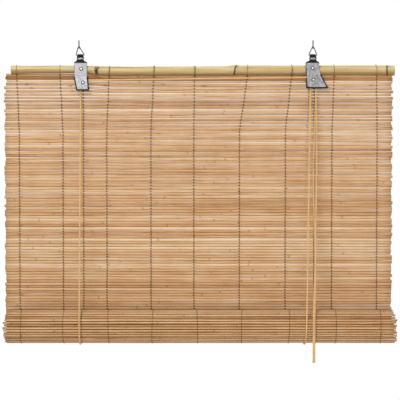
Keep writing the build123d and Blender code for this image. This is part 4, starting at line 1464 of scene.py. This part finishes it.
# ---- hardware
@dataclass
class Hardware:
    """The hooks, rings, hangers, housings, pulleys and screws."""

    wear: ClassVar[dict[str, str]] = {
        "left_ceiling_hook right_ceiling_hook": "hook",
        "left_wire_ring right_wire_ring": "ring",
        "left_hanger right_hanger left_back_plate cord_lock_back_plate": "black",
        "left_pulley_housing": "zinc",
        # painted shade: the lock housing wears the darker copy of the plating
        "cord_lock_housing": "shaded_zinc",
        "left_pulley_axle cord_lock_axle left_pole_screw right_pole_screw lock_roller": "rivet",
        "left_pulley lock_front_pulley lock_back_pulley": "pulley",
        "bottom_rod": "culm",
    }
    thread_pitch: float = 1.1 * MM
    neck_x: tuple[float, float] = (-237.2, 239.6)
    lip_foot: float = -86.0 * MM
    foot_lip: float = 1.65 * MM
    side_lip: float = 1.4 * MM

    def lips(self) -> None:
        """Make the black folded edges that frame the lower part of each housing, partly painted
        shade: a dark frame for the shadow along the housing's sides and foot.
        """
        left, right = self.neck_x
        runs = {
            "left_housing_lip": (
                (left - 12.2, -2.9, -66.6), (left - 9.6, -3.2, -80.0),
                (left - 7.3, -3.8, -93.4), (left + 4.5, -4.0, -93.7),
                (left + 16.4, -3.8, -93.2), (left + 15.4, -3.2, -80.0), (left + 14.0, -2.8, -68.0),
            ),
            "lock_housing_lip": (
                (right - 12.6, -3.0, -76.0), (right - 12.2, -3.4, -82.0),
                (right - 12.0, -3.8, -88.9), (right + 8.0, -4.0, -89.3),
                (right + 29.6, -3.8, -89.0), (right + 22.4, -3.2, -75.5),
                (right + 15.8, -2.8, -63.0),
            ),
        }
        for name, corners in runs.items():
            line = evenly(np.array(corners) * MM, 1.0 * MM)
            grow = np.where(line[:, 2] < self.lip_foot, self.foot_lip, self.side_lip)
            store = MeshStore()
            store.tube(line, grow, 8)
            settle(store.build(name), "black", Body.HEAD)

    def neck_folds(self) -> None:
        """Make the bright stripes across each hanger's black neck: a painted highlight where the
        neck's fold catches the light.
        """
        for side, x in zip(("left", "right"), self.neck_x):
            store = MeshStore()
            for level, half in ((-28.6, 5.0), (-30.4, 5.8)):
                u = np.linspace(-half, half, 22)
                y, z = -2.3 - 0.2 * np.cos(u * 0.25), level + 0.25 * np.sin(u * 0.9)
                store.tube(columns(x + u, y, z) * MM, 0.4 * MM, 8)
            settle(store.build(f"{side}_neck_highlight"), "dome", Body.HEAD)

    def rivet_faces(self) -> None:
        """Make a dark ring and a bright cap on each screw and rivet head: the ring is painted shade
        for the groove round the head, the near-white cap a painted highlight.
        """
        heads = (
            ("left_screw", -235.2, -50.6, -5.15), ("right_screw", 239.0, -49.2, -5.15),
            ("left_rivet", -231.8, -78.7, -5.35), ("lock_rivet", 240.75, -73.0, -5.25),
        )
        spin = round_turn(32)
        shade_ring = ((1.9, 0.1), (2.3, 0.34), (2.9, 0.44), (3.3, 0.3), (3.65, -0.2), (3.7, -1.4))
        dome = ((0.05, 1.0), (0.9, 0.93), (1.5, 0.72), (2.0, 0.42), (2.3, -0.2))
        for title, x, z, face in heads:
            for part, profile, finish in (("shade_ring", shade_ring, "hook"), ("dome", dome, "dome")):
                rings = [columns(x + r * np.cos(spin), face - out, z + r * np.sin(spin))
                         for r, out in profile]
                rows = np.array(rings) * MM
                store = MeshStore()
                store.grid(rows[:, ::-1], caps=False)
                store.faces.append(list(range(len(spin))))
                settle(store.build(f"{title}_{part}"), finish, Body.HEAD)

    def build(self) -> None:
        """Dress the frame's own parts and add the screw threads of the hooks."""
        self.lips()
        self.neck_folds()
        self.rivet_faces()
        for names, finish in self.wear.items():
            for node in names.split():
                dress(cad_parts[node], finish)
                LOG.info("finish %s on %s", finish, node)
        for side, x in (("left", -0.24), ("right", 0.24)):
            turns = np.linspace(0.0, 6.0, 6 * 14)
            radius = 1.05 * MM * np.clip((7.9 - turns * 1.1 - 0.4) / 2.2, 0.25, 1.0)
            line = columns(x + radius * np.cos(TURN * turns), radius * np.sin(TURN * turns),
                           0.6 * MM + turns * self.thread_pitch)
            store = MeshStore()
            store.tube(line, 0.26 * MM, 5)
            settle(store.build(f"{side}_hook_screw_thread"), "hook", Body.HOOKS)


# ---- studio
@dataclass
class Studio:
    """The camera, the soft lights and the pale floor."""

    camera_place: Point = (8.2 * MM, -3.19, -0.3196)
    lens: float = 140.0
    middle_z: float = -0.32
    floor_z: float = -1.3
    floor_reach: float = 2.6
    ambient: float = 0.42
    lights: tuple[tuple[str, Point, float, float], ...] = (
        ("key_light", (-0.9, -2.0, 1.7), 1.1, 54.0),
        ("fill_light", (1.9, -2.2, 0.1), 1.8, 10.0),
        ("low_light", (0.3, -2.3, -1.25), 1.4, 26.0),
        ("back_light", (0.6, 2.4, 1.2), 2.0, 42.0),
    )

    def camera(self) -> None:
        """Set the camera level, in front of the blind."""
        data = bpy.data.cameras.new("studio_camera")
        data.lens = self.lens
        data.sensor_width = 36.0
        data.clip_end = 60.0
        camera = link("studio_camera", data)
        camera.location = self.camera_place
        camera.rotation_euler = (math.pi / 2, 0.0, 0.0)
        bpy.context.scene.camera = camera

    def light(self, name: str, place: Point, size: float, power: float) -> None:
        """Hang one soft light, turned to the blind."""
        data = bpy.data.lights.new(name, "AREA")
        data.shape = "SQUARE"
        data.size = size
        data.energy = power
        lamp = link(name, data)
        lamp.location = place
        towards = Vector((0.0, 0.0, self.middle_z)) - Vector(place)
        lamp.rotation_euler = towards.to_track_quat("-Z", "Y").to_euler()

    def build(self) -> None:
        """Make the lights, the surroundings and the floor."""
        for name, place, size, power in self.lights:
            self.light(name, place, size, power)
        world = bpy.data.worlds.new("pale_surroundings")
        world.use_nodes = True
        air = Nodes(world.node_tree)
        seen = air.add("LightPath").outputs["Is Camera Ray"]
        background = world.node_tree.nodes["Background"]
        background.inputs[0].default_value = (1.0, 1.0, 1.0, 1.0)
        strength = air.spread(seen, 0.0, 1.0, self.ambient, 1.0)
        world.node_tree.links.new(strength, background.inputs[1])
        bpy.context.scene.world = world
        bpy.context.scene.view_settings.view_transform = "Standard"
        mesh = bpy.data.meshes.new("pale_floor")
        reach, z = self.floor_reach, self.floor_z
        corners = [(x * reach, y * reach, z) for x, y in ((-1, -1), (1, -1), (1, 1), (-1, 1))]
        mesh.from_pydata(corners, [], [(0, 1, 2, 3)])
        material = bpy.data.materials.new("floor_paint")
        material.use_nodes = True
        nodes = Nodes(material.node_tree)
        shader = material.node_tree.nodes["Principled BSDF"]
        shader.inputs["Roughness"].default_value = 0.9
        grain = nodes.noise(nodes.place(), 3.0, 3.0)
        paint = nodes.ramp(grain, ((0.0, (0.80, 0.80, 0.79)), (1.0, (0.86, 0.86, 0.85))))
        nodes.tree.links.new(paint, shader.inputs["Base Color"])
        mesh.materials.append(material)
        link("pale_floor", mesh)


def main() -> None:
    """Build the blind, the camera and the cords first."""
    logging.basicConfig(level=logging.INFO, format="%(name)s: %(message)s")
    studio = Studio()
    studio.camera()
    Cords().build()
    HeadPole().build()
    HangingScreen().build()
    Roll().build()
    Hardware().build()
    studio.build()


if __name__ == "__main__":
    main()
